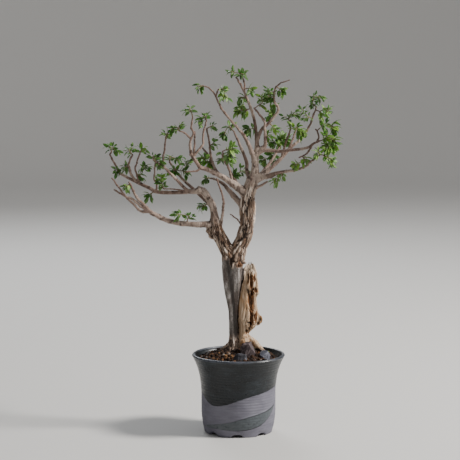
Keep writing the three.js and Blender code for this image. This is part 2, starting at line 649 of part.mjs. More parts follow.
// The origin goes to the bottom centre of the box around everything.
const box = new THREE.Box3().setFromObject(plant, true);
plant.position.set(-(box.min.x + box.max.x) / 2, -(box.min.y + box.max.y) / 2, -box.min.z);

export default group;
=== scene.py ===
# The bonsai in its pot, as it looks: thrown stoneware, granular soil, stones, a trunk of live vein and
# deadwood, flaky limbs, fine twigs and leafy shoots. Shapes are worked out in millimetres about the pot's
# axis, as in the CAD model, and everything that is made is in metres, in the CAD frame.
import math

import bmesh
import bpy
import numpy as np
from mathutils import Matrix, Vector, noise


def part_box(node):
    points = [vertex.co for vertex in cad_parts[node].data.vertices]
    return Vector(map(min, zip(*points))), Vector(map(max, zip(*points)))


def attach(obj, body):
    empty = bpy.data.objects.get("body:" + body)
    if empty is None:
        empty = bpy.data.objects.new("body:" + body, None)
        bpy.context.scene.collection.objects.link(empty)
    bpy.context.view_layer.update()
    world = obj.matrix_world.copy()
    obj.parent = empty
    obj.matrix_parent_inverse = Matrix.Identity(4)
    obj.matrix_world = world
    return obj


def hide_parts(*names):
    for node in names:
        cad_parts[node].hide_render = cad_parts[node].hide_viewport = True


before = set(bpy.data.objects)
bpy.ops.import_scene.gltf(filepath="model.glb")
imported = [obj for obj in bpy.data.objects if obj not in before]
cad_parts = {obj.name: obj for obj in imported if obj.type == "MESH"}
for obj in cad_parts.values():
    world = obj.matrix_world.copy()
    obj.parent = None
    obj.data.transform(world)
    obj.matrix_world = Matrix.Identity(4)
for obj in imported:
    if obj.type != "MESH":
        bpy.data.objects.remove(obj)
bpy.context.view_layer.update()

MM = 0.001
TURN = 2 * math.pi
FAR = 1e9

POT_LOW, POT_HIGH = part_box("pot")
AXIS = np.array([(POT_LOW.x + POT_HIGH.x) / 2, (POT_LOW.y + POT_HIGH.y) / 2, 0.0])
POT_HEIGHT = (POT_HIGH.z - POT_LOW.z) / MM
RIM_RADIUS = (POT_HIGH.x - POT_LOW.x) / 2 / MM
WAIST_RADIUS = 44.7
FOOT_RADIUS = 41.2
FOOT_INNER = 36.0
FOOT_HEIGHT = 5.0
NOTCHES = 8
NOTCH_HEIGHT = 3.5
NOTCH_HALF = 7.0  # half of a notch's width
NOTCH_ZONE = 7.0  # above this height the foot is not bent up by its notches
NOTCH_TURN = math.radians(-2)
DRAIN_RADIUS = 10.0
WALL = 3.8
FLOOR_TOP = 10.0
SOIL_EDGE = POT_HEIGHT - 7.0
SOIL_MOUND = 14.0
SOIL_GAP = 0.25  # between the soil and the pot
GLAZE_HIGH = 57  # the dipped glaze's lower edge, at the back, and how far it dips to the front left
GLAZE_DIP = 19
GLAZE_LOWEST = -42  # degrees from the front
OUTLINE_RIM = 95.0  # the height of the pot's rim in the tables of outlines

# Outlines of the wood: a name, the name of what it grows from, how far it drifts to the back (to the front
# where negative), and its points, each an x, a height and a radius.

TRUNK = [
    ["vein", None, 0, -1,84,13, -3,100,11, -5,112,7, -5.5,130,6, -6,146,5.8, -6.5,158,7.2, -7,176,9.8,
     -7,190,11.2, -7,207,12.3],
    ["deadwood", "vein", 2, 3,84,10, 5,96,9, 6,104,7.5, 4,116,6, 8,126,8.5, 11.6,137,12.6, 10.8,152,11.2,
     11,166,11, 13,172,11.6, 14,186,9, 14.5,198,6.5, 14.5,201,4.5],
    ["burl", "vein", -8, 3,109,3, 6,112,5.2, 7,116,3.4],
]

ROOTS = [
    ["root_right", "deadwood", -9, 9,116,4.5, 18,109,3.8, 24,104,3.3, 30,98,2.9, 36,92,2.4],
    ["root_left", "vein", -5, -6,104,8, -16,98,6, -25,91,4, -32,84,2.6],
    ["root_back", "vein", 32, 1,106,8, 3,99,6.5, 6,92,4.5, 8,84,3],
    ["root_front", "vein", -28, -3,102,8, -7,97,6, -11,90,4.2, -13,83,3],
]

LIMBS = [
    ["left_limb", "vein", -3, -7,200,11.3, -10,214,10.4, -16,225,8.5, -22,236,8, -27,246,8.6, -28,256,6,
     -29.5,266,4.6, -32,276,4.3, -38,286,4.5, -43,292,4.5, -50,294,3.8],
    ["knob", "left_limb", -1, -29,246,7.5, -37,244,4.4],
    ["right_limb", "vein", 0, -6,200,11.5, -3,213,12, 2,226,9.2, 7,237,9.5, 10,250,8.8, 11,268,9.5,
     11.5,286,9, 14,296,8.5, 17,306,7, 19.5,316,5, 20,326,3.9, 21,336,3.5, 23,342,3.2],
]

BRANCHES = [
    ["a", "left_limb", 14, -46,293,4, -52,291.5,3, -62,290.4,2.5, -80,289.5,2.3, -98,290.5,2.3,
     -106,294.5,2.2, -118,300,2.1, -139,310.5,1.6, -144,316,1.35, -150,327,1.1, -154,334,1, -152,338,0.8],
    ["a_upper", "a", -8, -121,301.5,1.8, -128,311,1.6, -131,324,1.2, -126,335,1],
    ["a_inner", "a", -13, -118,300,1.4, -122,313,1.1, -123,320,1, -117,338,0.8],
    ["b", "left_limb", -20, -28,250,4.5, -40,252,3.6, -52,252,3.3, -70,253.5,3.2, -84,257,3, -95,262,2.9,
     -105,268,2.6, -112,276,2, -122,287,1.5, -127,299,1.2, -130,304,1],
    ["b_outer", "b", -8, -107,269.5,2, -115,274,1.7, -127,284,1.5, -134,287.5,1.3, -150,309,0.8],
    ["b_low", "b", 12, -106,268.5,1.9, -117,268.5,1.6, -127,278,1.4, -137,286.5,1.2, -149,293,0.9],
    ["c", "a", -16, -60,290.5,2.4, -66,297,2, -84,316.5,1.5, -99,328,1, -101,331,0.9],
    ["c_tall", "c", 7, -88,320,1.4, -90,327,1.2, -88,343,1.1, -87,355,0.8],
    ["c_thin", "a", 8, -99,290.7,1.2, -98,299,1, -101,306,0.95, -100,328,0.8],
    ["c_low", "a", -9, -62,290.5,1, -75,294,0.8, -88,294.5,0.7],
    ["d", "right_limb", -20, 10,288,6.2, 2,294,4.5, -6,300,4, -16,307,3.5, -28,314,3, -40,319,2.6,
     -45,320.5,2.4, -49,326,2.2, -56,336.5,2],
    ["d_tall", "d", -6, -56,335.5,1.9, -57,352,1.4, -53,363,1.2, -56,369,1.1, -54,380,0.9],
    ["d_side", "d_tall", -6, -56,355,1.3, -63,362,1, -70,365,0.8],
    ["d_behind", "d", 11, -53,332,1.6, -52,349,1.1, -52,363,0.9],
    ["d_right", "d", 6, -54,334,1.7, -45,344,1.4, -42,349,1.3, -42,360,1.15, -38,375,0.85],
    ["d_mid", "d", 15, -24,312.3,2, -28,319,1.7, -33,332,1.4, -34,342,1.2, -38,366,0.95],
    ["d_fork", "d_mid", 9, -32,329,1.4, -36,334,1.2, -43,343,1],
    ["d_near", "d", -10, -7,301,1.8, -11,317,1.2, -18,331,1, -19,340,0.85],
    ["d_low", "d", -6, -45,320.5,1.4, -50,317,1.1, -62,316,0.75],
    ["e", "right_limb", 36, 9,268,4.4, 3,275,3.8, -12,291.5,2.7, -17,297,2.2, -27,303,1.5, -34,304,1],
    ["f", "left_limb", -10, -25,243,2.8, -21,252,1.9, -18.5,272,1.4, -18.5,284,1.2, -26,308,0.8],
    ["f_low", "right_limb", -9, 8,246,1.2, -2,258,0.85, -10,265,0.7],
    ["h", "right_limb", 25, 16,302,3.2, 10,315,2.4, 9.5,326,2.2, 1,347,1.5, -5,361,1],
    ["j", "right_limb", -12, 20,327,3.3, 16,338,2.7, 7,357,2.1, -1,367,1.6, -17,386,1.3, -24,398,1.1,
     -28,408,0.95],
    ["j_left", "j", -4, -27.5,406,1, -34,414,0.85, -42,417.5,0.75],
    ["j_right", "j", 4, -27,405,1, -24,413,0.8],
    ["k", "right_limb", 7, 22.5,340.5,3, 21.5,354,2.2, 19,375,1.8, 13,395,1.6, 1,421,1.1, -3,427,0.9],
    ["k_tip", "k", 6, 7,409,1.3, 7,419,1, 4,428,0.8],
    ["m", "right_limb", -5, 22,339,3, 30,344,2.4, 32,350,2.1, 31,365,1.5, 30,376,1.4, 18,391,1],
    ["l", "k", -14, 21.5,352,2.3, 28,366,1.9, 35,372,1.8, 47,388,1.5, 42,400,1.3, 43,412,1.1, 49,420,0.8,
     60,424,0.6],
    ["n", "right_limb", -22, 21.5,337,3.1, 31,340.5,2.4, 50,339.5,2.1, 60,341,2, 80,344,1.6, 90,350,1.3,
     96,353,1],
    ["n_down", "n", -5, 87,348.5,1.2, 80,337,0.95, 71,333,0.8],
    ["n_mid", "n", 5, 59,341,1.5, 65,356,1.1, 67,361,1],
    ["n_up", "n", 8, 92,351,1.2, 95,358,1, 91,366,0.85],
    ["p", "right_limb", 26, 17,304,5.6, 26,310,3.6, 38,318,2.7, 53,332,2.2, 62,342,1.9, 74,352,1.6,
     84,365,1.3, 94,391,0.9],
    ["p_up", "p", -9, 52,331,1.6, 54,341,1.2, 61.5,364,1, 60,373,0.8],
    ["p_low", "right_limb", -28, 19,307,5.2, 30,309,3.6, 38,311,3.2, 49,315,1.9, 73,319.5,1.5, 86,329,1.2,
     96,337,0.8],
    ["q", "right_limb", -15, 14,292,2.4, 26,298.5,1.5, 34,304,1],
    ["back_right", "right_limb", 54, 14,293,3.4, 24,306,2.5, 40,325,1.7, 52,343,1],
    ["back_mid", "right_limb", 48, 11,277,3.2, 3,291,2.4, -9,310,1.7, -17,328,1],
    ["back_left", "left_limb", 46, -31,273,2.8, -50,289,2.1, -72,308,1.5, -84,324,1],
]

# Each shoot: its whorls of leaves from the root of its stem outwards, each an x and a height.
SHOOTS = [
    [-154,344, -145,339], [-146,314], [-136,321], [-131,342], [-133,298], [-116,312, -111,322], [-114,343],
    [-108,286], [-101,334, -94,324], [-91,300, -93,309], [-85,361], [-78,316, -64,314, -63,326],
    [-60,263, -74,265], [-40,304], [-43,272], [-58,392], [-72,369, -79,367], [-40,382, -47,377], [-30,370],
    [-28,347], [-36,326, -43,331], [-9,342, -14,335], [-3,309, 6,314], [-12,367, -18,358], [6,386, 1,391],
    [4,402], [15,414], [13,366], [-47,416], [-18,413, -17,405], [4,431, -9,433], [28,397, 27,404],
    [35,404, 37,411], [51,411], [38,386], [44,366], [36,357], [43,331, 30,325], [60,379, 67,385],
    [69,368, 75,361], [83,380, 76,389], [89,396, 92,404, 100,401], [102,384, 109,386], [102,371, 114,369],
    [104,357, 113,352, 106,345], [92,341], [104,334, 111,330], [78,330, 66,325], [52,311, 42,305],
    [45,348, 53,349, 60,351], [-20,330, -8,331], [-84,330, -74,326],
]

# Each stone: the seed of its shape, its number of cuts, its material and that one's dark, middle and light.
STONES = {
    "stone_dark": (4, 13, "rock_dark", (0.018, 0.012, 0.013), (0.06, 0.042, 0.045), (0.17, 0.13, 0.13)),
    "stone_blue": (9, 12, "rock_blue", (0.024, 0.026, 0.036), (0.066, 0.070, 0.096), (0.25, 0.255, 0.31)),
    "stone_small": (15, 12, "rock_grey", (0.020, 0.019, 0.025), (0.058, 0.056, 0.068), (0.19, 0.19, 0.215)),
}

PALE_SHOOTS = {30, 36, 43, 46, 47, 49}
BRIGHT_SHOOTS = {22, 25, 37, 40, 45, 48}  # brighter and yellower than the rest
LARGE_LEAVED = {21, 22, 25, 28, 34, 35, 38, 40, 44, 45, 50}

# Where the deadwood has rotted out: the hollow's centre, its half sizes and its depth.
CAVITIES = [
    [(17, -10, 161), (5.2, 8, 15), 4.6], [(22.5, -7, 172), (3.4, 7, 5.0), 4.4],
    [(15.5, -9, 184), (2.6, 6, 11), 3.0], [(19.5, -8, 188), (1.5, 6, 7), 2.0],
    [(11.5, -8, 188), (1.5, 6, 7), 2.0], [(15.5, -11, 136), (2.6, 7, 17), 3.6],
    [(10.5, -9, 120.5), (2.4, 7, 4.5), 2.2], [(21.5, -8, 140), (2.0, 6, 8), 2.2],
    [(9, 12, 160), (5, 7, 24), 4.4], [(17, 11, 178), (3.5, 6, 13), 3.6],
    [(4, 12, 130), (2.6, 6, 14), 3.0], [(22, 4, 158), (3, 5, 13), 3.2],
    [(-49, -3, 295), (2.6, 4, 2.6), 1.8],
]

# Lumps that no branch gives, as centre and half sizes: ledges of bark, the deadwood's bulges and broken
# tips, the foot of the trunk.
LUMPS = [
    [(-8, -10, 203.5), (2.4, 3.0, 3.4)], [(0.5, -9.5, 204.5), (4.6, 3.2, 2.2)],
    [(6.0, -6, 206), (4.0, 5, 1.8)], [(23.5, 2, 136), (6.0, 3.8, 7.5)],
    [(20.5, -3, 171.5), (4.5, 4, 5.4)], [(-31.0, -1.5, 241), (5.8, 5.2, 7.0)],
    [(20.3, 0, 190), (2.2, 3.4, 7.5)], [(17.6, -1.5, 194), (1.5, 2.2, 6.5)],
    [(13.6, -3, 195), (1.5, 2.4, 6.5)], [(6.9, -1.5, 189), (3.2, 4.4, 10.5)],
    [(10.4, -2.5, 194), (1.8, 2.6, 6.5)], [(14.6, 4.5, 194), (1.9, 2.2, 6.5)],
    [(8.0, 0, 184), (4.4, 5.5, 12)], [(7, -6.5, 111.5), (5.8, 4.8, 7.0)], [(13, -1, 109), (7, 4.5, 6)],
]


# ---- Small helpers ----


def smoothstep(low, high, value):
    share = np.clip((value - low) / (high - low), 0.0, 1.0)
    return share * share * (3.0 - 2.0 * share)


def peak(value, width):
    """1 where the value is 0, falling to nothing over about twice the width."""
    return np.exp(-((value / width) ** 2))


def unit(vector):
    return vector / np.linalg.norm(vector)


def noise_at(points, scale, seed=0.0):
    """Perlin noise of each row of points, with one scale or a scale for each axis."""
    return np.array([noise.noise(p) for p in (points * np.asarray(scale) + seed).tolist()])


def cells_at(points, seed=0.0):
    """Voronoi cells: the gap between the two nearest centres, and a steady random number per cell."""
    spread = 7.31  # takes neighbouring centres to different cells of the random pattern
    rows = [noise.voronoi(p) for p in (points + seed).tolist()]
    return (np.array([gaps[1] - gaps[0] for gaps, _ in rows]),
            np.array([noise.cell(centres[0] * spread) for _, centres in rows]))


def to_frame(points):
    """From the tables' millimetres about the pot's axis to metres in the CAD frame."""
    moved = np.array(points, float)
    moved[:, 2] += POT_HEIGHT - OUTLINE_RIM
    return moved * MM + AXIS


def in_frame(path):
    """The same for rows of x, y, z, radius."""
    path = np.asarray(path, float)
    return np.column_stack([to_frame(path[:, :3]), path[:, 3] * MM])


def turns(count):
    return np.arange(count) * TURN / count


def curve_through(knots, step):
    """Catmull-Rom points, step millimetres apart, through rows of x, y, z, radius."""
    knots = np.asarray(knots, float)
    padded = np.vstack([2 * knots[0] - knots[1], knots, 2 * knots[-1] - knots[-2]])
    rows = []
    for i in range(1, len(padded) - 2):
        a, b, c, d = padded[i - 1:i + 3]
        count = max(2, int(round(np.linalg.norm((c - b)[:3]) / step)))
        t = (np.arange(count) / count)[:, None]
        bend = 2 * b + (c - a) * t + (2 * a - 5 * b + 4 * c - d) * t**2 + (3 * b - a - 3 * c + d) * t**3
        row = bend / 2
        row[:, 3] = (b + (c - b) * t)[:, 3]
        rows.append(row)
    return np.vstack(rows + [knots[-1:]])


def quads_between(rings):
    """Quads between neighbouring rows of vertex numbers, each row a closed ring."""
    after = np.roll(rings, -1, axis=1)
    return np.stack([rings[:-1], after[:-1], after[1:], rings[1:]], axis=-1).reshape(-1, 4)


def skin(count, sides):
    """The quads between count rings of vertices, and a fan from each end ring to one point beyond it."""
    rings = np.arange(count * sides).reshape(count, sides)
    after = np.roll(rings, -1, axis=1)
    first = np.column_stack([after[0], rings[0], np.full(sides, rings.size)])
    last = np.column_stack([rings[-1], after[-1], np.full(sides, rings.size + 1)])
    return [*quads_between(rings), *np.stack([first, last], axis=1).reshape(-1, 3)]


def turned_over(faces):
    """The same faces seen from the other side, with their first corners kept."""
    return [np.roll(face[::-1], 1) for face in faces]


class Shape:
    """Vertices, faces and per-vertex masks, gathered before a mesh is made."""

    def __init__(self):
        self.verts, self.faces, self.masks, self.count = [], [], {}, 0

    def add(self, verts, faces, **masks):
        self.verts.append(np.asarray(verts, float))
        self.faces.extend(tuple(int(k) + self.count for k in face) for face in faces)
        for name, values in masks.items():
            values = np.broadcast_to(np.asarray(values, float), (len(verts),))
            self.masks.setdefault(name, []).append(values)
        self.count += len(verts)

    def make(self, name, material, smooth=True):
        mesh = bpy.data.meshes.new(name)
        mesh.from_pydata(np.vstack(self.verts).tolist(), [], self.faces)
        for mask, rows in self.masks.items():
            mesh.attributes.new(mask, "FLOAT", "POINT").data.foreach_set("value", np.concatenate(rows))
        mesh.materials.append(material)
        mesh.validate()
        mesh.polygons.foreach_set("use_smooth", [smooth] * len(mesh.polygons))
        piece = bpy.data.objects.new(name, mesh)
        bpy.context.scene.collection.objects.link(piece)
        return piece


def tube(path, sides, swell=1.0):
    """Rings round a path of x, y, z, radius, closed with a point at each end; swell widens each ring."""
    centres, radius = path[:, :3], path[:, 3]
    tangents = np.gradient(centres, axis=0)
    tangents /= np.linalg.norm(tangents, axis=1)[:, None]
    upright = (0.0, 1.0, 0.0) if abs(tangents[0][1]) < 0.9 else (1.0, 0.0, 0.0)
    across = Vector(np.cross(tangents[0], upright)).normalized()
    angles = turns(sides)[:, None]
    rings = []
    for i, (centre, tangent, reach) in enumerate(zip(centres, tangents, radius * swell)):
        if i:
            across = Vector(tangents[i - 1]).rotation_difference(Vector(tangent)) @ across
        side = np.array(across)
        rings.append(centre + (np.cos(angles) * side + np.sin(angles) * np.cross(tangent, side)) * reach)
    ends = [centres[:1] - tangents[:1] * radius[0] * 0.5, centres[-1:] + tangents[-1:] * radius[-1] * 0.7]
    return np.vstack(rings + ends), skin(len(rings), sides)


def per_ring(values, sides):
    """A mask for a tube's vertices from one value for each ring."""
    return np.concatenate([np.repeat(values, sides), values[:1], values[-1:]])


def ball(level):
    sphere = bmesh.new()
    bmesh.ops.create_icosphere(sphere, subdivisions=level, radius=1.0)
    verts = np.array([v.co for v in sphere.verts])
    faces = [[v.index for v in f.verts] for f in sphere.faces]
    sphere.free()
    return verts, faces


# ---- Materials ----


class Nodes:
    """A short way to write a material's nodes. A source is a number, a colour or another node's output."""

    def __init__(self, name):
        self.material = bpy.data.materials.new(name)
        self.material.use_nodes = True
        self.tree = self.material.node_tree
        self.shader = self.tree.nodes["Principled BSDF"]

    def put(self, source, socket):
        if hasattr(source, "is_output"):
            self.tree.links.new(source, socket)
        else:
            socket.default_value = (*source, 1.0) if socket.type == "RGBA" else source

    def node(self, kind, sources, output=0, **settings):
        made = self.tree.nodes.new("ShaderNode" + kind)
        for key, value in settings.items():
            setattr(made, key, value)
        for socket, source in sources.items():
            self.put(source, made.inputs[socket])
        return made.outputs[output]

    def masks(self, *names):
        return [self.node("Attribute", {}, "Fac", attribute_name=name) for name in names]

    def noise(self, scale, stretch=(1, 1, 1), detail=4.0, rough=0.55):
        place = self.node("Mapping", {"Vector": self.node("TexCoord", {}, "Object"), "Scale": stretch})
        sources = {"Vector": place, "Scale": scale, "Detail": detail, "Roughness": rough}
        return self.node("TexNoise", sources, "Fac")

    def math(self, operation, a, b):
        return self.node("Math", {0: a, 1: b}, operation=operation)

    def ramp(self, source, *stops):
        output = self.node("ValToRGB", {0: source})
        elements = output.node.color_ramp.elements
        while len(elements) < len(stops):
            elements.new(0.5)
        for element, (place, colour) in zip(elements, stops):
            element.position = place
            element.color = (*colour, 1.0)
        return output

    def curve(self, source, low, high, to_low=0.0, to_high=1.0):
        sources = dict(enumerate((source, low, high, to_low, to_high)))
        return self.node("MapRange", sources, interpolation_type="SMOOTHSTEP")

    def mix(self, share, a, b):
        return self.node("Mix", {0: share, 6: a, 7: b}, 2, data_type="RGBA")

    def layers(self, colour, *rows):
        """Lays tints over a colour. A row is a source, perhaps the two values between which the tint
        comes in, its largest share, and the tint."""
        for source, *span, share, tint in rows:
            fade = self.curve(source, *span, 0, share) if span else self.math("MULTIPLY", source, share)
            colour = self.mix(fade, colour, tint)
        return colour

    def bumps(self, *rows):
        """Bumps on top of each other, each a height's source, its distance and its strength."""
        sources = {}
        for height, distance, strength in rows:
            sources.update(Height=height, Distance=distance, Strength=strength)
            sources["Normal"] = self.node("Bump", sources)
        return sources["Normal"]

    def finish(self, colour, roughness, normal=None, **plain):
        self.put(colour, self.shader.inputs["Base Color"])
        self.put(roughness, self.shader.inputs["Roughness"])
        if normal is not None:
            self.put(normal, self.shader.inputs["Normal"])
        for name, value in plain.items():
            self.shader.inputs[name.replace("_", " ")].default_value = value
        return self.material


def stoneware_material():
    """Dark iron glaze over a lavender-grey clay, with painted highlights on the rim and above the lobe; the
    masks say where each lies.
    """
    n = Nodes("stoneware")
    glaze, line, lobe, bloom, rim = n.masks("glaze", "line", "lobe", "bloom", "rim")
    cloud = n.noise(55, (1, 1, 2.2), 5)
    patch = n.noise(190, (1, 1, 1.6), 5, 0.65)
    speck = n.curve(n.noise(1000, detail=2), 0.57, 0.70)
    rings = n.noise(420, (0.03, 0.03, 1.0), 3)
    washed = n.ramp(patch, (0.3, (0.055, 0.066, 0.074)), (0.7, (0.110, 0.126, 0.140)))
    dark = n.ramp(cloud, (0.3, (0.003, 0.004, 0.005)), (0.55, (0.007, 0.010, 0.012)),
                  (0.8, (0.020, 0.027, 0.033)))
    dark = n.layers(dark, (patch, 0.5, 0.75, 0.3, (0.032, 0.040, 0.054)),
                    (speck, 0.22, (0.09, 0.105, 0.13)), (lobe, 0.8, washed))
    clay = n.ramp(cloud, (0.25, (0.115, 0.112, 0.142)), (0.75, (0.190, 0.186, 0.225)))
    grain = n.curve(n.noise(1500, detail=2), 0.55, 0.75)
    clay = n.layers(clay, (rings, 0.28, (0.12, 0.115, 0.142)), (grain, 0.3, (0.07, 0.065, 0.078)))
    # A painted highlight: a lighter bluish-grey over the rim, in cloudy patches.
    rim_highlight = n.math("MULTIPLY", rim, n.curve(cloud, 0.3, 0.7, 0.15, 0.6))
    # A painted highlight: a pale bluish line just above the lobe's top edge, on the right side.
    colour = n.layers(n.mix(glaze, clay, dark), (line, 0.85, (0.008, 0.010, 0.012)),
                      (bloom, 0.55, (0.24, 0.25, 0.29)))
    colour = n.mix(rim_highlight, colour, (0.11, 0.12, 0.15))
    rough = n.math("ADD", n.curve(glaze, 0, 1, 0.72, 0.30), n.curve(patch, 0.3, 0.7, -0.05, 0.14))
    relief = n.bumps((rings, 0.0004, 0.35), (n.noise(700, detail=3), 0.0002, 0.5))
    return n.finish(colour, rough, relief, Specular_IOR_Level=0.38)


def bark_material():
    """Live vein, deadwood, flaky bark and twigs, told apart by masks."""
    n = Nodes("bark")
    dead, flaky, vein, hollow, crease = n.masks("dead", "flaky", "vein", "hollow", "crease")
    plate, age, shade, furrow, damp = n.masks("plate", "age", "shade", "grain", "damp")
    fibre = n.noise(520, (1, 1, 0.09), 5, 0.6)
    strand = n.noise(260, (1, 1, 0.05), 4, 0.55)
    blotch = n.noise(150, (1, 1, 0.35), 4)
    fine = n.noise(1800, (1, 1, 0.4), 3)
    weather = n.noise(210, (1, 1, 0.24), 6, 0.68)
    mottle = n.noise(420, (1, 1, 1.6), 4)
    live = n.ramp(weather, (0.34, (0.062, 0.049, 0.041)), (0.5, (0.205, 0.182, 0.165)),
                  (0.66, (0.44, 0.41, 0.39)))
    live = n.layers(live, (blotch, 0.47, 0.62, 0.75, (0.085, 0.060, 0.050)),
                    (mottle, 0.52, 0.66, 0.6, (0.050, 0.036, 0.030)),
                    (shade, 0.2, 1.0, 0.78, (0.035, 0.028, 0.024)))
    rot = n.ramp(fine, (0.3, (0.050, 0.018, 0.008)), (0.6, (0.22, 0.088, 0.026)), (0.8, (0.42, 0.22, 0.080)))
    pale = n.ramp(fibre, (0.28, (0.27, 0.16, 0.085)), (0.5, (0.49, 0.345, 0.225)), (0.75, (0.72, 0.59, 0.46)))
    pale = n.layers(pale, (blotch, 0.46, 0.68, 0.85, (0.36, 0.185, 0.07)),
                    (n.math("MULTIPLY", plate, dead), 0.6, (0.82, 0.71, 0.58)),
                    (hollow, 0.1, 0.55, 1.0, rot))
    flakes = n.ramp(plate, (0.08, (0.085, 0.048, 0.032)), (0.36, (0.25, 0.165, 0.115)),
                    (0.62, (0.46, 0.345, 0.265)), (0.92, (0.78, 0.66, 0.56)))
    flakes = n.layers(flakes, (strand, 0.44, 0.64, 0.7, (0.13, 0.072, 0.044)),
                      (blotch, 0.55, 0.72, 0.5, (0.42, 0.22, 0.10)))
    young = n.ramp(age, (0.05, (0.40, 0.315, 0.26)), (0.35, (0.34, 0.255, 0.21)),
                   (0.65, (0.20, 0.125, 0.098)), (0.95, (0.090, 0.042, 0.030)))
    # The furrows' dark brown is partly their own colour and partly painted shade.
    young = n.layers(young, (fine, 0.5, 0.66, 0.5, (0.58, 0.49, 0.42)),
                     (blotch, 0.50, 0.62, 0.7, (0.14, 0.088, 0.064)),
                     (furrow, 0.25, 0.8, 0.7, (0.075, 0.045, 0.033)),
                     (shade, 0.2, 1.0, 0.8, (0.05, 0.028, 0.02)))
    colour = n.mix(dead, n.mix(flaky, n.mix(vein, young, live), flakes), pale)
    # Painted shade: nearly black in the grooves, the open joint and the hollows' depths; in the bark's cracks
    # also their own dark colour.
    colour = n.layers(colour, (crease, 0.12, 0.85, 0.95, (0.018, 0.009, 0.005)))
    colour = n.mix(damp, colour, (0.045, 0.024, 0.015))
    rough = n.math("SUBTRACT", n.curve(fine, 0.3, 0.7, 0.70, 0.92), n.math("MULTIPLY", vein, 0.04))
    relief = n.bumps((strand, 0.0010, 0.6), (weather, 0.0012, 0.6), (fibre, 0.0007, 0.8),
                     (fine, 0.0003, 0.7))
    return n.finish(colour, rough, relief, Specular_IOR_Level=0.35)


def leaf_material():
    """Green by each leaf's tone, with herring-bone veins and a paler underside."""
    n = Nodes("leaf")
    tone, across, under, along = n.masks("tone", "across", "under", "along")
    herring = n.math("ADD", n.math("MULTIPLY", along, 7.0), n.math("MULTIPLY", across, 1.6))
    waves = n.node("TexWave", {"Vector": n.node("CombineXYZ", {0: herring}), "Scale": 0.32}, "Fac",
                   wave_type="BANDS", bands_direction="X")
    side_veins = n.curve(waves, 0.86, 0.98, 0, 0.22)
    face = n.ramp(tone, (0.0, (0.016, 0.042, 0.008)), (0.3, (0.043, 0.100, 0.014)),
                  (0.55, (0.082, 0.175, 0.021)), (0.75, (0.20, 0.33, 0.034)), (0.9, (0.20, 0.33, 0.10)),
                  (1.0, (0.27, 0.42, 0.19)))
    face = n.layers(face, (n.noise(600, detail=3), 0.4, 0.7, 0.45, (0.028, 0.07, 0.010)))
    face = n.mix(side_veins, face, (0.20, 0.29, 0.08))
    face = n.mix(n.curve(across, 0.0, 0.14, 0.5, 0.0), face, (0.22, 0.31, 0.09))
    face = n.layers(face, (under, 0.5, (0.13, 0.20, 0.075)), (across, 0.88, 1.0, 0.12, (0.10, 0.08, 0.025)))
    return n.finish(face, n.curve(under, 0, 1, 0.45, 0.65), n.bumps((side_veins, 0.0003, 0.5)),
                    Subsurface_Weight=0.10, Subsurface_Scale=0.0015, Subsurface_Radius=(0.3, 1.0, 0.15),
                    Specular_IOR_Level=0.35)


def stem_material():
    """Brown at the root of each shoot, green at its tip."""
    n = Nodes("green_stem")
    fine = n.noise(900, detail=3)
    colour = n.ramp(*n.masks("age"), (0.0, (0.13, 0.06, 0.035)), (0.6, (0.20, 0.17, 0.06)),
                    (1.0, (0.16, 0.24, 0.06)))
    colour = n.layers(colour, (fine, 0.4, 0.7, 0.4, (0.09, 0.05, 0.025)))
    return n.finish(colour, 0.6, n.bumps((fine, 0.0002, 0.5)))


def grain_material():
    """Soil grains: baked clay, humus, lava and a few pumice stones, one tone for each grain."""
    n = Nodes("soil_grains")
    tone, moss = n.masks("tone", "moss")
    fine = n.noise(1300, rough=0.65)
    colour = n.ramp(tone, (0.0, (0.010, 0.007, 0.006)), (0.35, (0.024, 0.014, 0.010)),
                    (0.55, (0.055, 0.028, 0.016)), (0.72, (0.12, 0.055, 0.022)), (0.86, (0.21, 0.108, 0.046)),
                    (0.95, (0.30, 0.25, 0.21)), (1.0, (0.42, 0.39, 0.37)))
    colour = n.layers(colour, (fine, 0.4, 0.75, 0.55, (0.03, 0.018, 0.012)))
    green = n.ramp(fine, (0.3, (0.035, 0.05, 0.010)), (0.7, (0.15, 0.17, 0.035)))
    return n.finish(n.mix(moss, colour, green), 0.9, n.bumps((fine, 0.0008, 0.8)), Specular_IOR_Level=0.25)


def rock_material(name, dark, mid, light):
    """Mottled stone, with a painted highlight along its broken ridges."""
    n = Nodes(name)
    broad, fine = n.noise(130, detail=5, rough=0.6), n.noise(900, rough=0.65)
    colour = n.layers(n.ramp(broad, (0.3, dark), (0.52, mid), (0.75, light)), (fine, 0.45, 0.7, 0.5, dark),
                      (*n.masks("ridge"), 0.35, 0.9, 0.6, light))
    relief = n.bumps((broad, 0.0012, 0.7), (fine, 0.0005, 0.8))
    return n.finish(colour, n.curve(fine, 0.3, 0.7, 0.6, 0.85), relief)


def plain_material(name, colour, roughness, metallic=0.0):
    n = Nodes(name)
    fine = n.noise(1100, detail=3)
    mixed = n.layers(colour, (fine, 0.35, 0.7, 0.6, tuple(0.72 * c for c in colour)))
    rough = n.curve(fine, 0.3, 0.7, roughness - 0.06, roughness + 0.08)
    return n.finish(mixed, rough, n.bumps((fine, 0.0001, 0.4)), Metallic=metallic)


# ---- Pot ----


def outer_radius(z):
    belly = 1 - (1 - np.clip(z / (0.27 * POT_HEIGHT), 0, 1)) ** 1.7
    start = 0.42 * POT_HEIGHT
    flare = (np.clip(z - start, 0, None) / (POT_HEIGHT - WALL / 2 - start)) ** 2.8
    return FOOT_RADIUS + (WAIST_RADIUS - FOOT_RADIUS) * belly + (RIM_RADIUS - WAIST_RADIUS) * flare


def inner_radius(z):
    return float(outer_radius(z)) - WALL


OUTSIDE, LIP, INSIDE, UNDERNEATH = range(4)


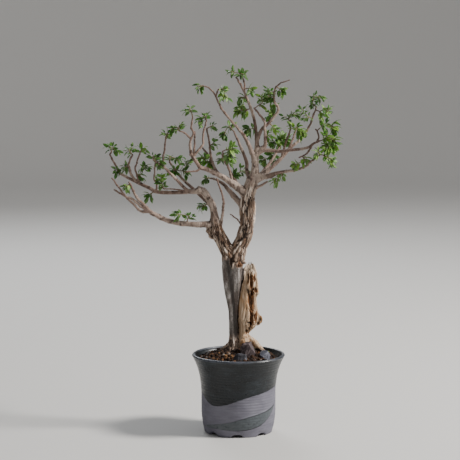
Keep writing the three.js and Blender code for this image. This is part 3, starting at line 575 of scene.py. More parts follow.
def pot_profile():
    """Radius, height and part, all the way round the wall's section."""
    lip, corner_top = WALL / 2, FLOOR_TOP + 3
    shoulder = POT_HEIGHT - lip
    rows = [(float(outer_radius(z)), z, OUTSIDE) for z in np.linspace(0.9, shoulder, 190)]
    centre = float(outer_radius(shoulder)) - lip
    for angle in np.radians(np.linspace(12, 168, 12)):
        rows.append((centre + lip * math.cos(angle), shoulder + lip * math.sin(angle), LIP))
    rows += [(inner_radius(z), z, INSIDE) for z in np.linspace(shoulder, corner_top, 60)]
    corner = inner_radius(corner_top)
    rows += [(corner - 1, FLOOR_TOP + 1, INSIDE), (corner - 3, FLOOR_TOP, INSIDE)]
    rows += [(r, FLOOR_TOP, INSIDE) for r in np.linspace(corner - 8, DRAIN_RADIUS + 1, 7)]
    below = [(DRAIN_RADIUS + 0.3, FLOOR_TOP - 0.3), (DRAIN_RADIUS, FLOOR_TOP - 1),
             (DRAIN_RADIUS, FOOT_HEIGHT + 1), (DRAIN_RADIUS + 0.5, FOOT_HEIGHT)]
    below += [(r, FOOT_HEIGHT) for r in np.linspace(DRAIN_RADIUS + 3, FOOT_INNER - 1, 8)]
    below += [(FOOT_INNER - 0.3, FOOT_HEIGHT - 0.4), (FOOT_INNER, FOOT_HEIGHT - 1.2)]
    below += [(FOOT_INNER, 3), (FOOT_INNER, 2), (FOOT_INNER, 1), (FOOT_INNER + 0.3, 0.3)]
    below += [(FOOT_INNER + 0.9, 0), (37.8, 0), (38.8, 0), (39.8, 0)]
    below += [(FOOT_RADIUS - 0.6, 0.1), (FOOT_RADIUS - 0.15, 0.45)]
    return np.array(rows + [(r, z, UNDERNEATH) for r, z in below])


def glaze_line(theta, degrees):
    """The height of the dipped glaze's lower edge; theta is 0 at the front and grows to the right."""
    spread = np.where(degrees > GLAZE_LOWEST, 62, 36)
    return GLAZE_HIGH - GLAZE_DIP * peak(degrees - GLAZE_LOWEST, spread) + 0.7 * np.sin(5 * theta + 1.0)


def make_pot(material):
    columns = 400
    profile = pot_profile()
    radius, z, part = (np.repeat(column, columns) for column in profile.T)
    around = np.tile(turns(columns), len(profile))
    degrees = np.degrees((around + math.pi) % TURN - math.pi)
    # The dipped upper glaze, and a second dip that crosses the front low down as a pointed lobe.
    grit = np.column_stack([np.sin(around) * 45, np.cos(around) * 45, z])
    wobble = 0.5 * noise_at(grit, 0.35, 3.0)
    glaze_low = glaze_line(around, degrees)
    upper = smoothstep(-0.35, 0.35, z - glaze_low + wobble)
    lobe_top = 22 + 0.178 * degrees + 0.4 * np.sin(degrees * 0.09)
    lobe_low = 9.2 + 25 * (degrees.clip(0) / 72) ** 2.3 + 0.3 * np.sin(degrees * 0.12)
    inside = np.minimum(lobe_top - z, z - lobe_low) + wobble * 0.6
    inside = np.where((degrees > -80) & (degrees < 73), inside, -5.0)
    lobe = smoothstep(-0.3, 0.3, inside)
    line = peak(inside, 0.6) * smoothstep(-25, 15, degrees)
    # A painted highlight: a pale line just above the lobe's top edge, on the right side only.
    bloom = peak(lobe_top - z + 1.4, 0.7) * smoothstep(-5, 25, degrees) * smoothstep(58, 40, degrees)
    glaze = np.where(part == OUTSIDE, np.maximum(upper, lobe), np.where(part == UNDERNEATH, 0.0, 1.0))
    # Throwing rings, a slight lean of the wall, and the glaze's own thickness.
    rings = 0.10 * np.sin(z * 1.9 + 0.35 * np.sin(around)) + 0.11 * noise_at(grit, (0.02, 0.02, 0.9), 9.0)
    wave = 0.35 * noise_at(grit, 0.03, 5.0)
    shift = np.where((part == OUTSIDE) | (part == INSIDE),
                     rings * smoothstep(3, 12, z) + wave * smoothstep(2, 20, z), 0.0)
    shift += np.where(part == OUTSIDE, 0.22 * glaze + 0.18 * peak(z - glaze_low, 0.8), 0.0)
    radius = radius + np.where(part == LIP, wave, shift)
    # The foot ring's arched notches.
    pitch = TURN / NOTCHES
    nearest = (around - NOTCH_TURN + pitch / 2) % pitch - pitch / 2
    arch = NOTCH_HEIGHT * np.clip(1 - (np.abs(nearest) * 40 / NOTCH_HALF) ** 2.6, 0, None) ** 0.6
    foot = (z < NOTCH_ZONE) & (radius > FOOT_INNER - 0.5)
    z = np.where(foot, arch + z * (NOTCH_ZONE - arch) / NOTCH_ZONE, z)
    z = np.where(part == LIP, z + 0.25 * noise_at(grit, (0.05, 0.05, 0), 1.0) - 0.12, z)
    points = np.column_stack([radius * np.sin(around), -radius * np.cos(around), z]) * MM + AXIS
    index = np.arange(len(points)).reshape(-1, columns)
    # Where the rim's painted highlight lies: the lip and the top of the outside.
    rim = np.where(part == LIP, 1.0, smoothstep(POT_HEIGHT - 4.0, POT_HEIGHT - 1.5, z) * (part == OUTSIDE))
    outer = part == OUTSIDE
    shape = Shape()
    shape.add(points, quads_between(np.vstack([index, index[:1]])), glaze=glaze, line=line * outer, rim=rim,
              lobe=lobe * outer, bloom=bloom * outer)
    return shape.make("pot_body", material)


# ---- Soil, stones, drain net ----


def soil_height(x, y):
    share = np.clip(np.hypot(x, y) / inner_radius(SOIL_EDGE), 0, 1)
    return SOIL_EDGE + SOIL_MOUND * (1 - share**2) ** 1.4


def level_ring(radius, theta, height):
    return np.column_stack([radius * np.sin(theta), -radius * np.cos(theta), np.full(len(theta), height)])


def add_ground(shape, edge):
    """The body of the soil under the loose grains, down to the pot's floor."""
    rings, columns, sunk, low = 46, 150, 1.2, FLOOR_TOP + 0.5
    theta = turns(columns)
    radius = np.linspace(0, 1, rings) ** 0.8 * edge
    flat = np.vstack([level_ring(r, theta, 0.0) for r in radius[1:]])
    top = flat.copy()
    top[:, 2] = soil_height(flat[:, 0], flat[:, 1]) - sunk
    top[:, 2] += 1.5 * noise_at(flat, (0.16, 0.16, 1), 2.0)
    top[:, 2] += 0.8 * noise_at(flat, (0.5, 0.5, 1), 4.0)
    side = [level_ring(min(edge, inner_radius(level) - SOIL_GAP), theta, level)
            for level in np.linspace(SOIL_EDGE - 3, low, 8)]
    points = np.vstack([top, *side, (0, 0, float(soil_height(0, 0)) - sunk), (0, 0, low)])
    faces = turned_over(skin(rings - 1 + len(side), columns))
    shape.add(points * MM + AXIS, faces, tone=0.22, moss=0.0)


def make_soil(material, rng):
    """The ground, then the loose grains that lie on it, with a patch of moss at the back right."""
    shape = Shape()
    edge = inner_radius(SOIL_EDGE) - SOIL_GAP
    add_ground(shape, edge)
    tries, sizes, shares = 1700, [1.2, 1.6, 2.1, 2.7], [0.3, 0.36, 0.24, 0.1]
    moss_place, moss_reach = (30, 24), 16
    fine, coarse = ball(2), ball(1)
    stones = []
    for node in STONES:
        low, high = (np.array(corner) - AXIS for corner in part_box(node))
        stones.append(((low + high)[:2] / 2 / MM, (high - low)[:2] / 2 / MM))
    for _ in range(tries):
        size = float(rng.choice(sizes, p=shares)) * rng.uniform(0.85, 1.15)
        reach = (edge - size - 0.3) * math.sqrt(rng.uniform(0.02, 1))
        angle = rng.uniform(0, TURN)
        place = np.array([reach * math.sin(angle), -reach * math.cos(angle)])
        if any(np.linalg.norm((place - middle) / (half - 0.5)) < 1 for middle, half in stones):
            continue
        height = float(soil_height(*place)) + rng.uniform(-1.1, 0.7)
        verts, faces = fine if size > 2 else coarse
        stretch = rng.uniform(0.7, 1.15, 3) * size
        rough = noise_at(verts, 0.9, rng.uniform(0, 50, 3))
        grain = verts * (1 + 0.38 * rough)[:, None] * stretch
        spin = Matrix.Rotation(rng.uniform(0, 6.28), 3, "Z") @ Matrix.Rotation(rng.uniform(0, 6.28), 3, "X")
        grain = grain @ np.array(spin).T + (*place, height)
        tone = float(np.clip(rng.beta(1.7, 2.5), 0, 0.86)) if rng.uniform() > 0.035 else rng.uniform(0.92, 1)
        mossy = math.dist(place, moss_place) < moss_reach and rng.uniform() < 0.75
        shape.add(grain * MM + AXIS, faces, tone=tone, moss=rng.uniform(0.5, 0.95) if mossy else 0.0)
    return shape.make("soil_bed", material, smooth=False)


def make_stone(node, material, seed, cuts):
    """A broken stone that fills its CAD node's box: a ball cut by flat planes, then roughened."""
    low, high = (np.array(corner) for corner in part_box(node))
    verts, faces = ball(5)
    rng = np.random.default_rng(seed)
    # The ridge mask marks the cut edges, where the stone's material paints a highlight.
    ridge = np.zeros(len(verts))
    for _ in range(cuts):
        way = unit(rng.normal(size=3))
        over = verts @ way - rng.uniform(0.52, 0.8)
        ridge = np.maximum(ridge, peak(over, 0.045))
        verts = verts - np.clip(over, 0, None)[:, None] * way
    verts = (verts - (verts.max(axis=0) + verts.min(axis=0)) / 2) / (np.ptp(verts, axis=0) / 2)
    rough = sum(size * noise_at(verts, scale, seed) for size, scale in ((0.08, 2.2), (0.045, 6), (0.02, 15)))
    shape = Shape()
    shape.add(verts * (0.985 + rough)[:, None] * (high - low) / 2 + (low + high) / 2, faces, ridge=ridge)
    return shape.make(node + "_look", material)


def make_net(material):
    """The drain net: round-cornered bars between square holes, in a rim."""
    low, high = (np.array(corner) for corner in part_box("drain_net"))
    centre, (radius, _, thick) = (low + high) / 2, (high - low) / 2
    shape = Shape()

    def bar(points, thickness):
        shape.add(*tube(np.column_stack([points + centre, np.full(len(points), thickness)]), 6))

    ring = turns(48)
    loop = np.column_stack([np.cos(ring), np.sin(ring), np.zeros(48)]) * (radius - thick)
    bar(np.vstack([loop, loop[:2]]), thick * 0.98)
    for step in np.arange(-2, 3) * 5.0 * MM:
        half = math.sqrt((radius - thick) ** 2 - step**2)
        for axis in (0, 1):
            ends = np.zeros((7, 3))
            ends[:, axis] = np.linspace(-half, half, 7)
            ends[:, 1 - axis] = step
            bar(ends, thick * 0.9)
    return shape.make("drain_net_look", material)


# ---- Skeleton ----


def lay_out(entries):
    """Each outline with its depth: it starts at its parent's nearest knot and drifts to the back or front."""
    skeleton = {}
    for name, parent, drift, *outline in entries:
        x, z, radius = np.reshape(outline, (-1, 3)).T.astype(float)
        start = 0.0
        if parent:
            knots = skeleton[parent]
            start = knots[np.hypot(knots[:, 0] - x[0], knots[:, 2] - z[0]).argmin(), 1]
        skeleton[name] = np.column_stack([x, start + drift * np.arange(len(x)) / (len(x) - 1), z, radius])
    return skeleton


SKELETON = lay_out(TRUNK + ROOTS + LIMBS + BRANCHES)
THICK_NAMES = [entry[0] for entry in TRUNK + ROOTS + LIMBS]
THIN_FROM = 1.75  # a branch thinner than this is made as a twig, not fused into the trunk
FUSED_STEP = 1.6
TWIG_STEP = 0.8
VOXEL = 0.62 * MM
BLOCK = 20000  # vertices that are measured at once

# Heights between which the wood changes, each change growing from the first to the second.
ROOT_BARE = (99, 104)
DAMP = (106, 97)
BASE_BARK = (124, 106)
JOINT_START = (112, 120)
JOINT_END = (197, 183)
BROKEN_TOP = (187, 200)
BLEACHED = (190, 202)
BARK_EDGE = (199, 204)
DEADWOOD_END = (203, 206)
LEFT_FLAKES_END = (250, 262)
RIGHT_FLAKES_END = (286, 306)


# ---- Wood ----


def thick_paths():
    """Every stretch that is thick enough to be fused, and a collar where a branch leaves its parent."""
    paths = {}
    for name, knots in SKELETON.items():
        path = curve_through(knots, FUSED_STEP)
        if name not in THICK_NAMES:
            thin = np.nonzero(path[:, 3] < THIN_FROM)[0]
            path = path[: thin[0] + 1] if len(thin) else path
            if len(path) < 4:
                continue
            path[:, 3] *= 1 + 0.35 * np.exp(-np.arange(len(path)) * FUSED_STEP / (path[0, 3] * 2.0))
        paths[name] = path
    return paths


def fused_wood(paths):
    """The thick stretches as tubes, with the lumps, fused into one skin by a voxel remesh."""
    sides = 14
    shape = Shape()
    for path in paths.values():
        shape.add(*tube(in_frame(path), sides))
    verts, faces = ball(3)
    for centre, half in LUMPS:
        shape.add(to_frame(verts * half + centre), faces)
    rough = shape.make("wood_rough", None)
    remesh = rough.modifiers.new("fuse", "REMESH")
    remesh.mode = "VOXEL"
    remesh.voxel_size = VOXEL
    remesh.adaptivity = 0.0
    relax = rough.modifiers.new("relax", "SMOOTH")
    relax.factor = 0.5
    relax.iterations = 3
    fused = bpy.data.meshes.new_from_object(rough.evaluated_get(bpy.context.evaluated_depsgraph_get()))
    bpy.data.objects.remove(rough)
    return fused


def nearest_sample(points, paths):
    """For each vertex: its branch's number, how far along that it is, the branch's middle and radius there,
    and how near the vertex is to the joint between the live vein and the deadwood."""
    count = len(points)
    best, owner = np.full(count, FAR), np.zeros(count, int)
    along, middle, width = np.zeros(count), np.zeros((count, 3)), np.ones(count)
    sides = {"vein": np.full(count, FAR), "deadwood": np.full(count, FAR)}
    for number, (name, path) in enumerate(paths.items()):
        steps = np.linalg.norm(np.diff(path[:, :3], axis=0), axis=1)
        lengths = np.concatenate([[0], np.cumsum(steps)])
        reach = path[:, 3].max() + 6
        low, high = path[:, :3].min(0) - reach, path[:, :3].max(0) + reach
        rows = np.nonzero(np.all((points > low) & (points < high), axis=1))[0]
        for block in np.array_split(rows, max(1, len(rows) // BLOCK)):
            gap = np.linalg.norm(points[block, None, :] - path[None, :, :3], axis=2) / path[None, :, 3]
            pick = gap.argmin(axis=1)
            value = gap[np.arange(len(block)), pick]
            if name in sides:
                sides[name][block] = value
            better = value < best[block]
            block, pick = block[better], pick[better]
            best[block], owner[block] = value[better], number
            along[block], middle[block], width[block] = lengths[pick], path[pick, :3], path[pick, 3]
    joint = peak(sides["vein"] - sides["deadwood"], 0.11) * (sides["vein"] < 3)
    return owner, along, middle, width, joint * smoothstep(*JOINT_START, points[:, 2])


def carve_wood(mesh, paths):
    """Works the fused skin into fluted live wood, grooved deadwood and flaky bark: its points and masks."""
    count = len(mesh.vertices)
    flat = np.empty((2, count * 3), np.float32)
    mesh.vertices.foreach_get("co", flat[0])
    mesh.vertices.foreach_get("normal", flat[1])
    points, normals = flat.reshape(2, -1, 3).astype(float)
    points = (points - AXIS) / MM
    points[:, 2] -= POT_HEIGHT - OUTLINE_RIM
    owner, along, middle, width, joint = nearest_sample(points, paths)
    names = list(paths)
    out = points - middle
    turn = np.arctan2(out[:, 0], -out[:, 1])
    x, _, z = points.T

    def on(*wanted):
        return np.isin(owner, [names.index(name) for name in wanted]).astype(float)

    def wrapped(radius, rise):
        """Places on a cylinder, for a pattern that goes round each branch without a seam."""
        return np.column_stack([np.cos(turn) * radius, np.sin(turn) * radius, rise])

    def near(centre, stretch):
        return np.linalg.norm((points - centre) * stretch, axis=1)

    # Which part of the wood each vertex is on.
    soft = noise_at(points, (0.18, 0.18, 0.12), 11.0)
    behind = smoothstep(-1, 4, out[:, 1])
    tongues = noise_at(wrapped(2.4, z * 0.02), 1, 91.0)
    ragged = 7 * soft + (5 + 30 * behind) * tongues
    above = smoothstep(*BARK_EDGE, z + ragged - 6 * smoothstep(-4, -12, x))
    dead = on("deadwood", "burl") * (1 - smoothstep(*DEADWOOD_END, z))
    dead = np.maximum(dead, on("root_right") * smoothstep(*ROOT_BARE, z))
    foot = np.linalg.norm((points - (8, -9, 111)) / (7.5, 8, 9), axis=1)
    dead = np.maximum(dead, smoothstep(1.15, 0.85, foot))
    left_top = smoothstep(*LEFT_FLAKES_END, z + 10 * soft)
    right_top = smoothstep(*RIGHT_FLAKES_END, z + 12 * soft)
    flaky = on("left_limb", "knob") * (1 - left_top) + on("right_limb") * (1 - right_top) + on("vein")
    flaky = np.clip(flaky * above * (1 - dead), 0, 1)
    base = smoothstep(*BASE_BARK, z + 8 * soft) * (1 - dead)  # near the soil the bark is rough again
    flaky = np.maximum(flaky, base * 0.85)
    vein = on("vein", "left_limb", "right_limb") * (1 - above) * (1 - base)

    # Deadwood: deep grooves along the grain, rotted hollows, a broken top.
    deep = peak(noise_at(points, (0.24, 0.24, 0.030), 7.0), 0.095)
    thin = peak(noise_at(points, (0.8, 0.8, 0.06), 21.0), 0.11)
    swell = noise_at(points, (0.11, 0.11, 0.04), 2.0)
    hollow, sink = np.zeros(count), np.zeros(count)
    for centre, half, depth in CAVITIES:
        gap = np.linalg.norm((points - centre) / np.asarray(half, float), axis=1)
        hit = smoothstep(1.2, 0.5, gap * (1 + 0.45 * noise_at(points, (0.35, 0.35, 0.12), depth)))
        hollow = np.maximum(hollow, hit)
        sink = np.maximum(sink, hit * depth)
    sink = sink * (1 - 0.75 * peak(noise_at(points, (0.42, 0.42, 0.035), 61.0), 0.10))
    rough = smoothstep(5, 13, x + 3 * soft) * smoothstep(112, 124, z)  # worn smooth on the left and low down
    push = 0.35 * dead + dead * (1.6 * swell - (0.7 + 1.5 * rough) * deep - (0.3 + 0.5 * rough) * thin)
    push -= np.maximum(dead, on("left_limb")) * sink
    spikes = 8.0 * noise_at(wrapped(1, z * 0), (4.0, 4.0, 1), 5.0) - 1.6
    lift = dead * smoothstep(*BROKEN_TOP, z) * spikes

    # Live vein: smooth flutes that follow the trunk, and an open joint beside the deadwood.
    turned = turn + 0.010 * (z - 150)
    flute = np.cos(3 * turned - 0.4)
    small = np.cos(8 * turned + 1.0)
    ripple = noise_at(points, (0.5, 0.5, 0.05), 31.0)
    joint = joint * np.maximum(vein, dead) * smoothstep(*JOINT_END, z)
    push += vein * ((-1.35 * flute - 0.3 * small) * smoothstep(2, 9, width) + 0.35 * ripple) - 2.6 * joint

    # Flaky bark: long plates with open edges, between deep cracks.
    warp = noise_at(points, (0.16, 0.16, 0.09), 71.0)
    sheet = wrapped(3.1, along / 17.0)
    sheet += np.column_stack([0.45 * warp + 0.3 * ripple, 0.45 * soft, 0.5 * soft + 0.3 * warp])
    gaps, marks = np.zeros(count), np.zeros(count)
    rows = np.nonzero(flaky > 0.02)[0]
    gaps[rows], marks[rows] = cells_at(sheet[rows], 3.0)
    gaps += 0.12 * ripple
    marks = marks * 0.5 + 0.5
    strip = noise_at(wrapped(9, along), (0.62, 0.62, 0.07), 41.0)
    split = peak(strip, 0.09)
    body = smoothstep(0.03, 0.34, gaps)
    push += flaky * (1.5 * body * (0.45 + 0.85 * marks) - 1.15 + 0.6 * strip - 0.7 * split)
    crack = 0.85 * (1 - smoothstep(0.02, 0.2, gaps)) + 0.6 * split

    # Everything else: gentle swellings and the odd old scar.
    rest = np.clip(1 - dead - flaky - vein, 0, 1)
    knot = noise_at(points, 0.13, 51.0)
    scar = smoothstep(0.30, 0.42, noise_at(points, 0.21, 57.0))
    # The furrows sink into the wood and are darkened too: their own colour and painted shade.
    furrow = peak(noise_at(wrapped(6, along), (0.75, 0.75, 0.09), 81.0), 0.10) * smoothstep(1.6, 4.5, width)
    push += rest * (0.6 * knot + 0.3 * ripple + 0.6 * scar - 0.4 * furrow) * smoothstep(1.2, 4.0, width)
    points = points + normals * push[:, None]
    points[:, 2] += lift

    # What the material is told.
    # The crease mask: painted shade in the deadwood's grooves, the open joint and the hollows' depths, and in
    # the flaky bark's cracks with their own dark colour.
    crease = dead * (0.3 + 0.7 * rough) * (0.8 * deep + 0.35 * thin) + flaky * crack
    crease = np.maximum(np.maximum(crease, joint), dead * smoothstep(0.8, 1.0, hollow) * 0.55)
    plate = np.clip(marks * 0.7 + 0.5 * strip + 0.14 + 0.16 * smoothstep(0, 12, x) * on("right_limb"), 0, 1)
    ledge = smoothstep(5.5, 3.0, near((-8, -11, 203.5), (1, 0.6, 0.8)))
    plate = np.maximum(plate, ledge * (0.75 + 0.3 * ripple))
    plate = np.where(dead > 0.5, dead * smoothstep(*BLEACHED, z), plate)
    shade = vein * np.clip(smoothstep(0.1, 0.9, flute) + 0.35 * smoothstep(150, 125, z), 0, 1)
    shade = np.maximum(shade, rest * np.clip(0.8 * scar + smoothstep(0.1, -0.35, knot) * 0.5, 0, 1))
    stain = smoothstep(4.5, 2, near((1, -11, 203.5), (0.7, 0.5, 1)))
    hollow = np.maximum(hollow * dead, 0.6 * deep * dead * rough * smoothstep(-0.1, 0.5, swell))
    return to_frame(points), {
        "dead": np.maximum(dead, 0.8 * stain), "flaky": flaky, "vein": vein,
        "hollow": np.maximum(hollow, 0.7 * stain), "crease": np.clip(crease, 0, 1), "plate": plate,
        "age": smoothstep(5.0, 1.1, width) * 0.75, "shade": shade, "grain": rest * furrow,
        "damp": smoothstep(*DAMP, z + 5 * soft) * 0.85}


def add_twigs(shape, rng):
    """The thin ends of the branches: knuckled, slightly crooked tubes."""
    sides = 9
    for name, knots in SKELETON.items():
        path = curve_through(knots, TWIG_STEP)
        thin = np.nonzero(path[:, 3] < THIN_FROM)[0]
        if name in THICK_NAMES or not len(thin):
            continue
        path = path[max(thin[0] - 4, 0):]
        run = np.arange(len(path)) * TWIG_STEP
        ease = smoothstep(0, 5, run)

        def wander(pace, seed):
            return noise_at(np.outer(run, (pace, 0, 0)), 1, (0, rng.uniform(0, 50), seed))

        for axis, seed in enumerate((3.0, 17.0, 29.0)):
            path[:, axis] += 0.75 * ease * wander(0.16, seed)
        swell = np.zeros(len(run))
        place = rng.uniform(2, 6)
        while place < run[-1]:
            swell += rng.uniform(0.12, 0.38) * peak(run - place, 0.9)
            place += rng.uniform(4.0, 8.5)
        wave = 0.10 * wander(0.5, 0.0)
        if thin[0] > 0:
            path[:, 3] *= 0.92 + 0.08 * ease
        age = np.clip(smoothstep(2.4, 0.75, path[:, 3]) * 0.8 + 0.9 * wave, 0.1, 1)
        verts, faces = tube(in_frame(path), sides, 1 + swell + wave)
        shape.add(verts, faces, dead=0, flaky=0, vein=0, hollow=0, crease=0, plate=0.5, damp=0, grain=0,
                  age=per_ring(age, sides), shade=per_ring(np.clip(swell * 2, 0, 0.8), sides))


def make_wood(material, rng):
    paths = thick_paths()
    mesh = fused_wood(paths)
    points, masks = carve_wood(mesh, paths)
    shape = Shape()
    shape.add(points, [tuple(face.vertices) for face in mesh.polygons], **masks)
    add_twigs(shape, rng)
    return shape.make("wood", material)


# ---- Leaves ----


LEAF_ROWS, LEAF_COLUMNS = 8, 5
WHORL_TURN = 2.4  # from each leaf of a whorl to the next, in radians
TWIG_POINTS = np.vstack([curve_through(SKELETON[entry[0]], 1.0) for entry in LIMBS + BRANCHES])


def leaf_points(length, width, fold, droop, twist):
    """A pointed, folded leaf along +X with its upper side +Z; a thin closed sheet."""
    along = np.linspace(0, 1, LEAF_ROWS)
    spread = np.maximum(width / 2 * 2.3 * along**0.62 * (1 - along) ** 0.78, width * 0.03)
    u, half = np.repeat(along, LEAF_COLUMNS), np.repeat(spread, LEAF_COLUMNS)
    v = np.tile(np.linspace(-1, 1, LEAF_COLUMNS), LEAF_ROWS)
    y = half * v
    z = fold * half * np.abs(v) ** 1.3 - droop * length * u**2
    z += 0.035 * width * np.sin(u * 17 + v * 2.0) * np.abs(v)
    lean = twist * u
    y, z = y * np.cos(lean) - (z + droop * length * u**2) * np.sin(lean), z + y * np.sin(lean)
    top = np.column_stack([length * u, y, z])
    thick = 0.09 + 0.08 * (1 - np.abs(v)) * (1 - u)
    total = len(top)
    grid = np.arange(total).reshape(LEAF_ROWS, LEAF_COLUMNS)
    a, b, c, d = (part.ravel() for part in (grid[:-1, :-1], grid[1:, :-1], grid[1:, 1:], grid[:-1, 1:]))
    sheets = np.column_stack([a, b, c, d, a + total, d + total, c + total, b + total]).reshape(-1, 4)
    rim = np.concatenate([grid[0], grid[1:, -1], grid[-1, -2::-1], grid[-2:0:-1, 0]])
    after = np.roll(rim, -1)
    faces = [*sheets, *np.column_stack([rim, after, after + total, rim + total])]
    masks = {"across": np.tile(np.abs(v), 2), "along": np.tile(u, 2), "under": np.repeat([0.0, 1.0], total)}
    return np.vstack([top, top - np.outer(thick, (0, 0, 1))]), faces, masks


def make_shoot(node, number, whorls, leaf, stem, rng):
    """One leafy shoot, on its stem from the nearest twig through each whorl's centre."""
    low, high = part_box(node)
    depth = ((low.y + high.y) / 2 - AXIS[1]) / MM
    centres = [np.array([x, depth + rng.uniform(-1.5, 1.5), height])
               for x, height in np.reshape(whorls, (-1, 2))]
    gaps = np.linalg.norm(TWIG_POINTS[:, :3] - centres[0], axis=1) + 2.0 * TWIG_POINTS[:, 3]
    knots = [TWIG_POINTS[gaps.argmin(), :3]] + centres
    leaves, stems = Shape(), Shape()
    bend = (knots[1] - knots[0]) * 0.5 + knots[0] + rng.uniform(-1, 1, 3)
    path = curve_through([[*knots[0], 0.75], [*bend, 0.62]] + [[*k, 0.5] for k in centres], TWIG_STEP)
    stems.add(*tube(in_frame(path), 6), age=per_ring(np.linspace(0, 0.9, len(path)), 6))
    large, bright = number in LARGE_LEAVED, number in BRIGHT_SHOOTS
    scale = 1.15 if large else rng.uniform(0.82, 0.98)
    tone_mid = 0.88 if number in PALE_SHOOTS else 0.68 if bright else rng.uniform(0.22, 0.52)
    for i, centre in enumerate(centres):
        axis = knots[i + 1] - knots[i]
        reach = np.linalg.norm(axis)
        axis = axis / reach
        side = unit(np.cross(axis, (0.31, 0.9, 0.2)))
        other = np.cross(axis, side)

        def tilted(heading, turn, lean):
            outward = side * math.cos(turn) + other * math.sin(turn)
            return heading * math.cos(lean) + outward * math.sin(lean)

        first = rng.uniform(0, TURN)
        sprigs = [(centre, axis, int(rng.integers(6, 10)), min(reach * 0.8, 7.0))]
        for _ in range(3 if large or bright else 2):
            way = tilted(axis, rng.uniform(0, TURN), rng.uniform(0.6, 1.1))
            start = centre - axis * min(rng.uniform(2, 6), reach * 0.7)
            tip = start + way * rng.uniform(3.5, 6.5)
            middle = (start + tip) / 2 + rng.uniform(-0.5, 0.5, 3)
            stems.add(*tube(in_frame([[*start, 0.42], [*middle, 0.36], [*tip, 0.3]]), 5), age=0.5)
            sprigs.append((tip, way, int(rng.integers(3, 5)), 2.5))
        buds = [(tip, way, k, room) for tip, way, total, room in sprigs for k in range(total)]
        for tip, heading, k, room in buds:
            lean = 0.35 + 0.8 * min(k / 3.0, 1.0) + rng.uniform(-0.15, 0.25)
            base = tip - heading * min(0.85 * k, room)
            way = unit(tilted(heading, first + k * WHORL_TURN, lean) - (0, 0, 0.30))
            petiole = rng.uniform(0.8, 1.6)
            length = rng.uniform(6.0, 9.8) * scale * (0.75 if k == 0 else 1.0)
            width = length * rng.uniform(0.48, 0.62)
            fold, droop, twist = rng.uniform(0.15, 0.45), rng.uniform(0.10, 0.38), rng.uniform(-0.4, 0.4)
            local, faces, masks = leaf_points(length, width, fold, droop, twist)
            level = np.cross((0.0, 0.0, 1.0), way) + 0.75 * rng.normal(size=3)
            level = unit(level - way * level.dot(way))
            foot = base + way * petiole
            tone = float(np.clip(tone_mid + rng.normal(0, 0.14), 0.0, 1.0))
            placed = local @ np.vstack([way, level, np.cross(way, level)]) + foot
            leaves.add(to_frame(placed), faces, tone=tone, **masks)
            stalk = [[*base, 0.3], [*(base + way * petiole * 0.6), 0.24], [*(foot + way * 0.9), 0.2]]
            stems.add(*tube(in_frame(stalk), 5), age=0.8)
    return leaves.make(node + "_leaves", leaf), stems.make(node + "_stem", stem)


# ---- Stage ----


def make_camera():
    angle, tilt, left, away, height = math.radians(15.6), math.radians(6.315), 0.0102, 2.0, 0.466
    camera = bpy.data.objects.new("camera", bpy.data.cameras.new("camera"))
    bpy.context.scene.collection.objects.link(camera)
    camera.data.sensor_fit = "AUTO"
    camera.data.angle = angle
    camera.data.clip_start = 0.1
    camera.data.clip_end = 50
    camera.location = (AXIS[0] - left, AXIS[1] - away, height)
    camera.rotation_euler = (math.pi / 2 - tilt, 0, 0)
    bpy.context.scene.camera = camera


def make_light(name, place, size, power, colour, aim=(0, 0, 0.22)):
    lamp = bpy.data.lights.new(name, "AREA")
    lamp.shape = "DISK"
    lamp.size = size
    lamp.energy = power
    lamp.color = colour
    light = bpy.data.objects.new(name, lamp)
    bpy.context.scene.collection.objects.link(light)
    light.location = place
    light.rotation_euler = (Vector(aim) - Vector(place)).to_track_quat("-Z", "Y").to_euler()


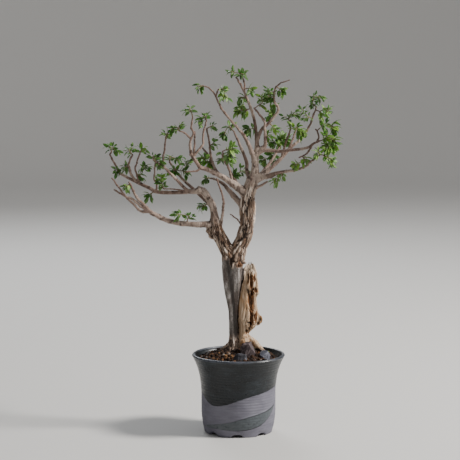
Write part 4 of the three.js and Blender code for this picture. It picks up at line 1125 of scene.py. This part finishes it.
def make_floor():
    """A pale floor that curves up, far off, into a low wall all round, so that no horizon line shows."""
    flat, curve, top, sides = 3.6, 1.6, 2.0, 72
    profile = [(2.0, 0.0), (flat, 0.0)]
    for angle in np.linspace(0.12, math.pi / 2, 14):
        profile.append((flat + curve * math.sin(angle), curve - curve * math.cos(angle)))
    profile.append((flat + curve, top))
    verts = [(r * math.sin(t), -r * math.cos(t), z) for r, z in profile for t in turns(sides)] + [(0, 0, 0)]
    rings = np.arange(len(verts) - 1).reshape(-1, sides)
    faces = [(k, (k + 1) % sides, len(verts) - 1) for k in range(sides)] + turned_over(quads_between(rings))
    shape = Shape()
    shape.add(verts, faces)
    shape.make("floor", Nodes("floor").finish((0.60, 0.59, 0.57), 0.85))


def make_world():
    """Plain soft light from all round, brighter from the right than from the left."""
    world = bpy.data.worlds.new("studio")
    world.use_nodes = True
    tree = world.node_tree
    split = tree.nodes.new("ShaderNodeSeparateXYZ")
    share = tree.nodes.new("ShaderNodeMapRange")
    tree.links.new(tree.nodes.new("ShaderNodeTexCoord").outputs["Generated"], split.inputs[0])
    tree.links.new(split.outputs["X"], share.inputs[0])
    for index, value in enumerate((-1.0, 1.0, 0.12, 0.72), 1):
        share.inputs[index].default_value = value
    tree.links.new(share.outputs[0], tree.nodes["Background"].inputs[1])
    tree.nodes["Background"].inputs[0].default_value = (0.80, 0.81, 0.83, 1)
    bpy.context.scene.world = world


# ---- The object ----


def dress(piece, node):
    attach(piece, "root")
    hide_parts(node)


make_camera()
make_floor()
make_world()
make_light("key", (1.9, -0.35, 1.75), 0.6, 112, (1.0, 0.97, 0.93))
make_light("back", (-0.5, 1.9, 1.5), 1.1, 22, (0.93, 0.96, 1.0))
make_light("fill", (-1.7, -1.1, 0.8), 1.6, 1.0, (0.95, 0.97, 1.0))

dress(make_pot(stoneware_material()), "pot")
dress(make_soil(grain_material(), np.random.default_rng(5)), "soil")
dress(make_net(plain_material("net_plastic", (0.02, 0.024, 0.02), 0.6)), "drain_net")
for node, (seed, cuts, *look) in STONES.items():
    dress(make_stone(node, rock_material(*look), seed, cuts), node)
dress(make_wood(bark_material(), np.random.default_rng(3)), "trunk_and_branches")

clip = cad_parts["net_clip"]
clip.data.materials.clear()
clip.data.materials.append(plain_material("clip_wire", (0.55, 0.55, 0.56), 0.35, 1.0))

leaf_look, stem_look = leaf_material(), stem_material()
shoot_rng = np.random.default_rng(41)
for number, whorls in enumerate(SHOOTS, 1):
    node = f"shoot_{number:02d}"
    for piece in make_shoot(node, number, whorls, leaf_look, stem_look, shoot_rng):
        dress(piece, node)
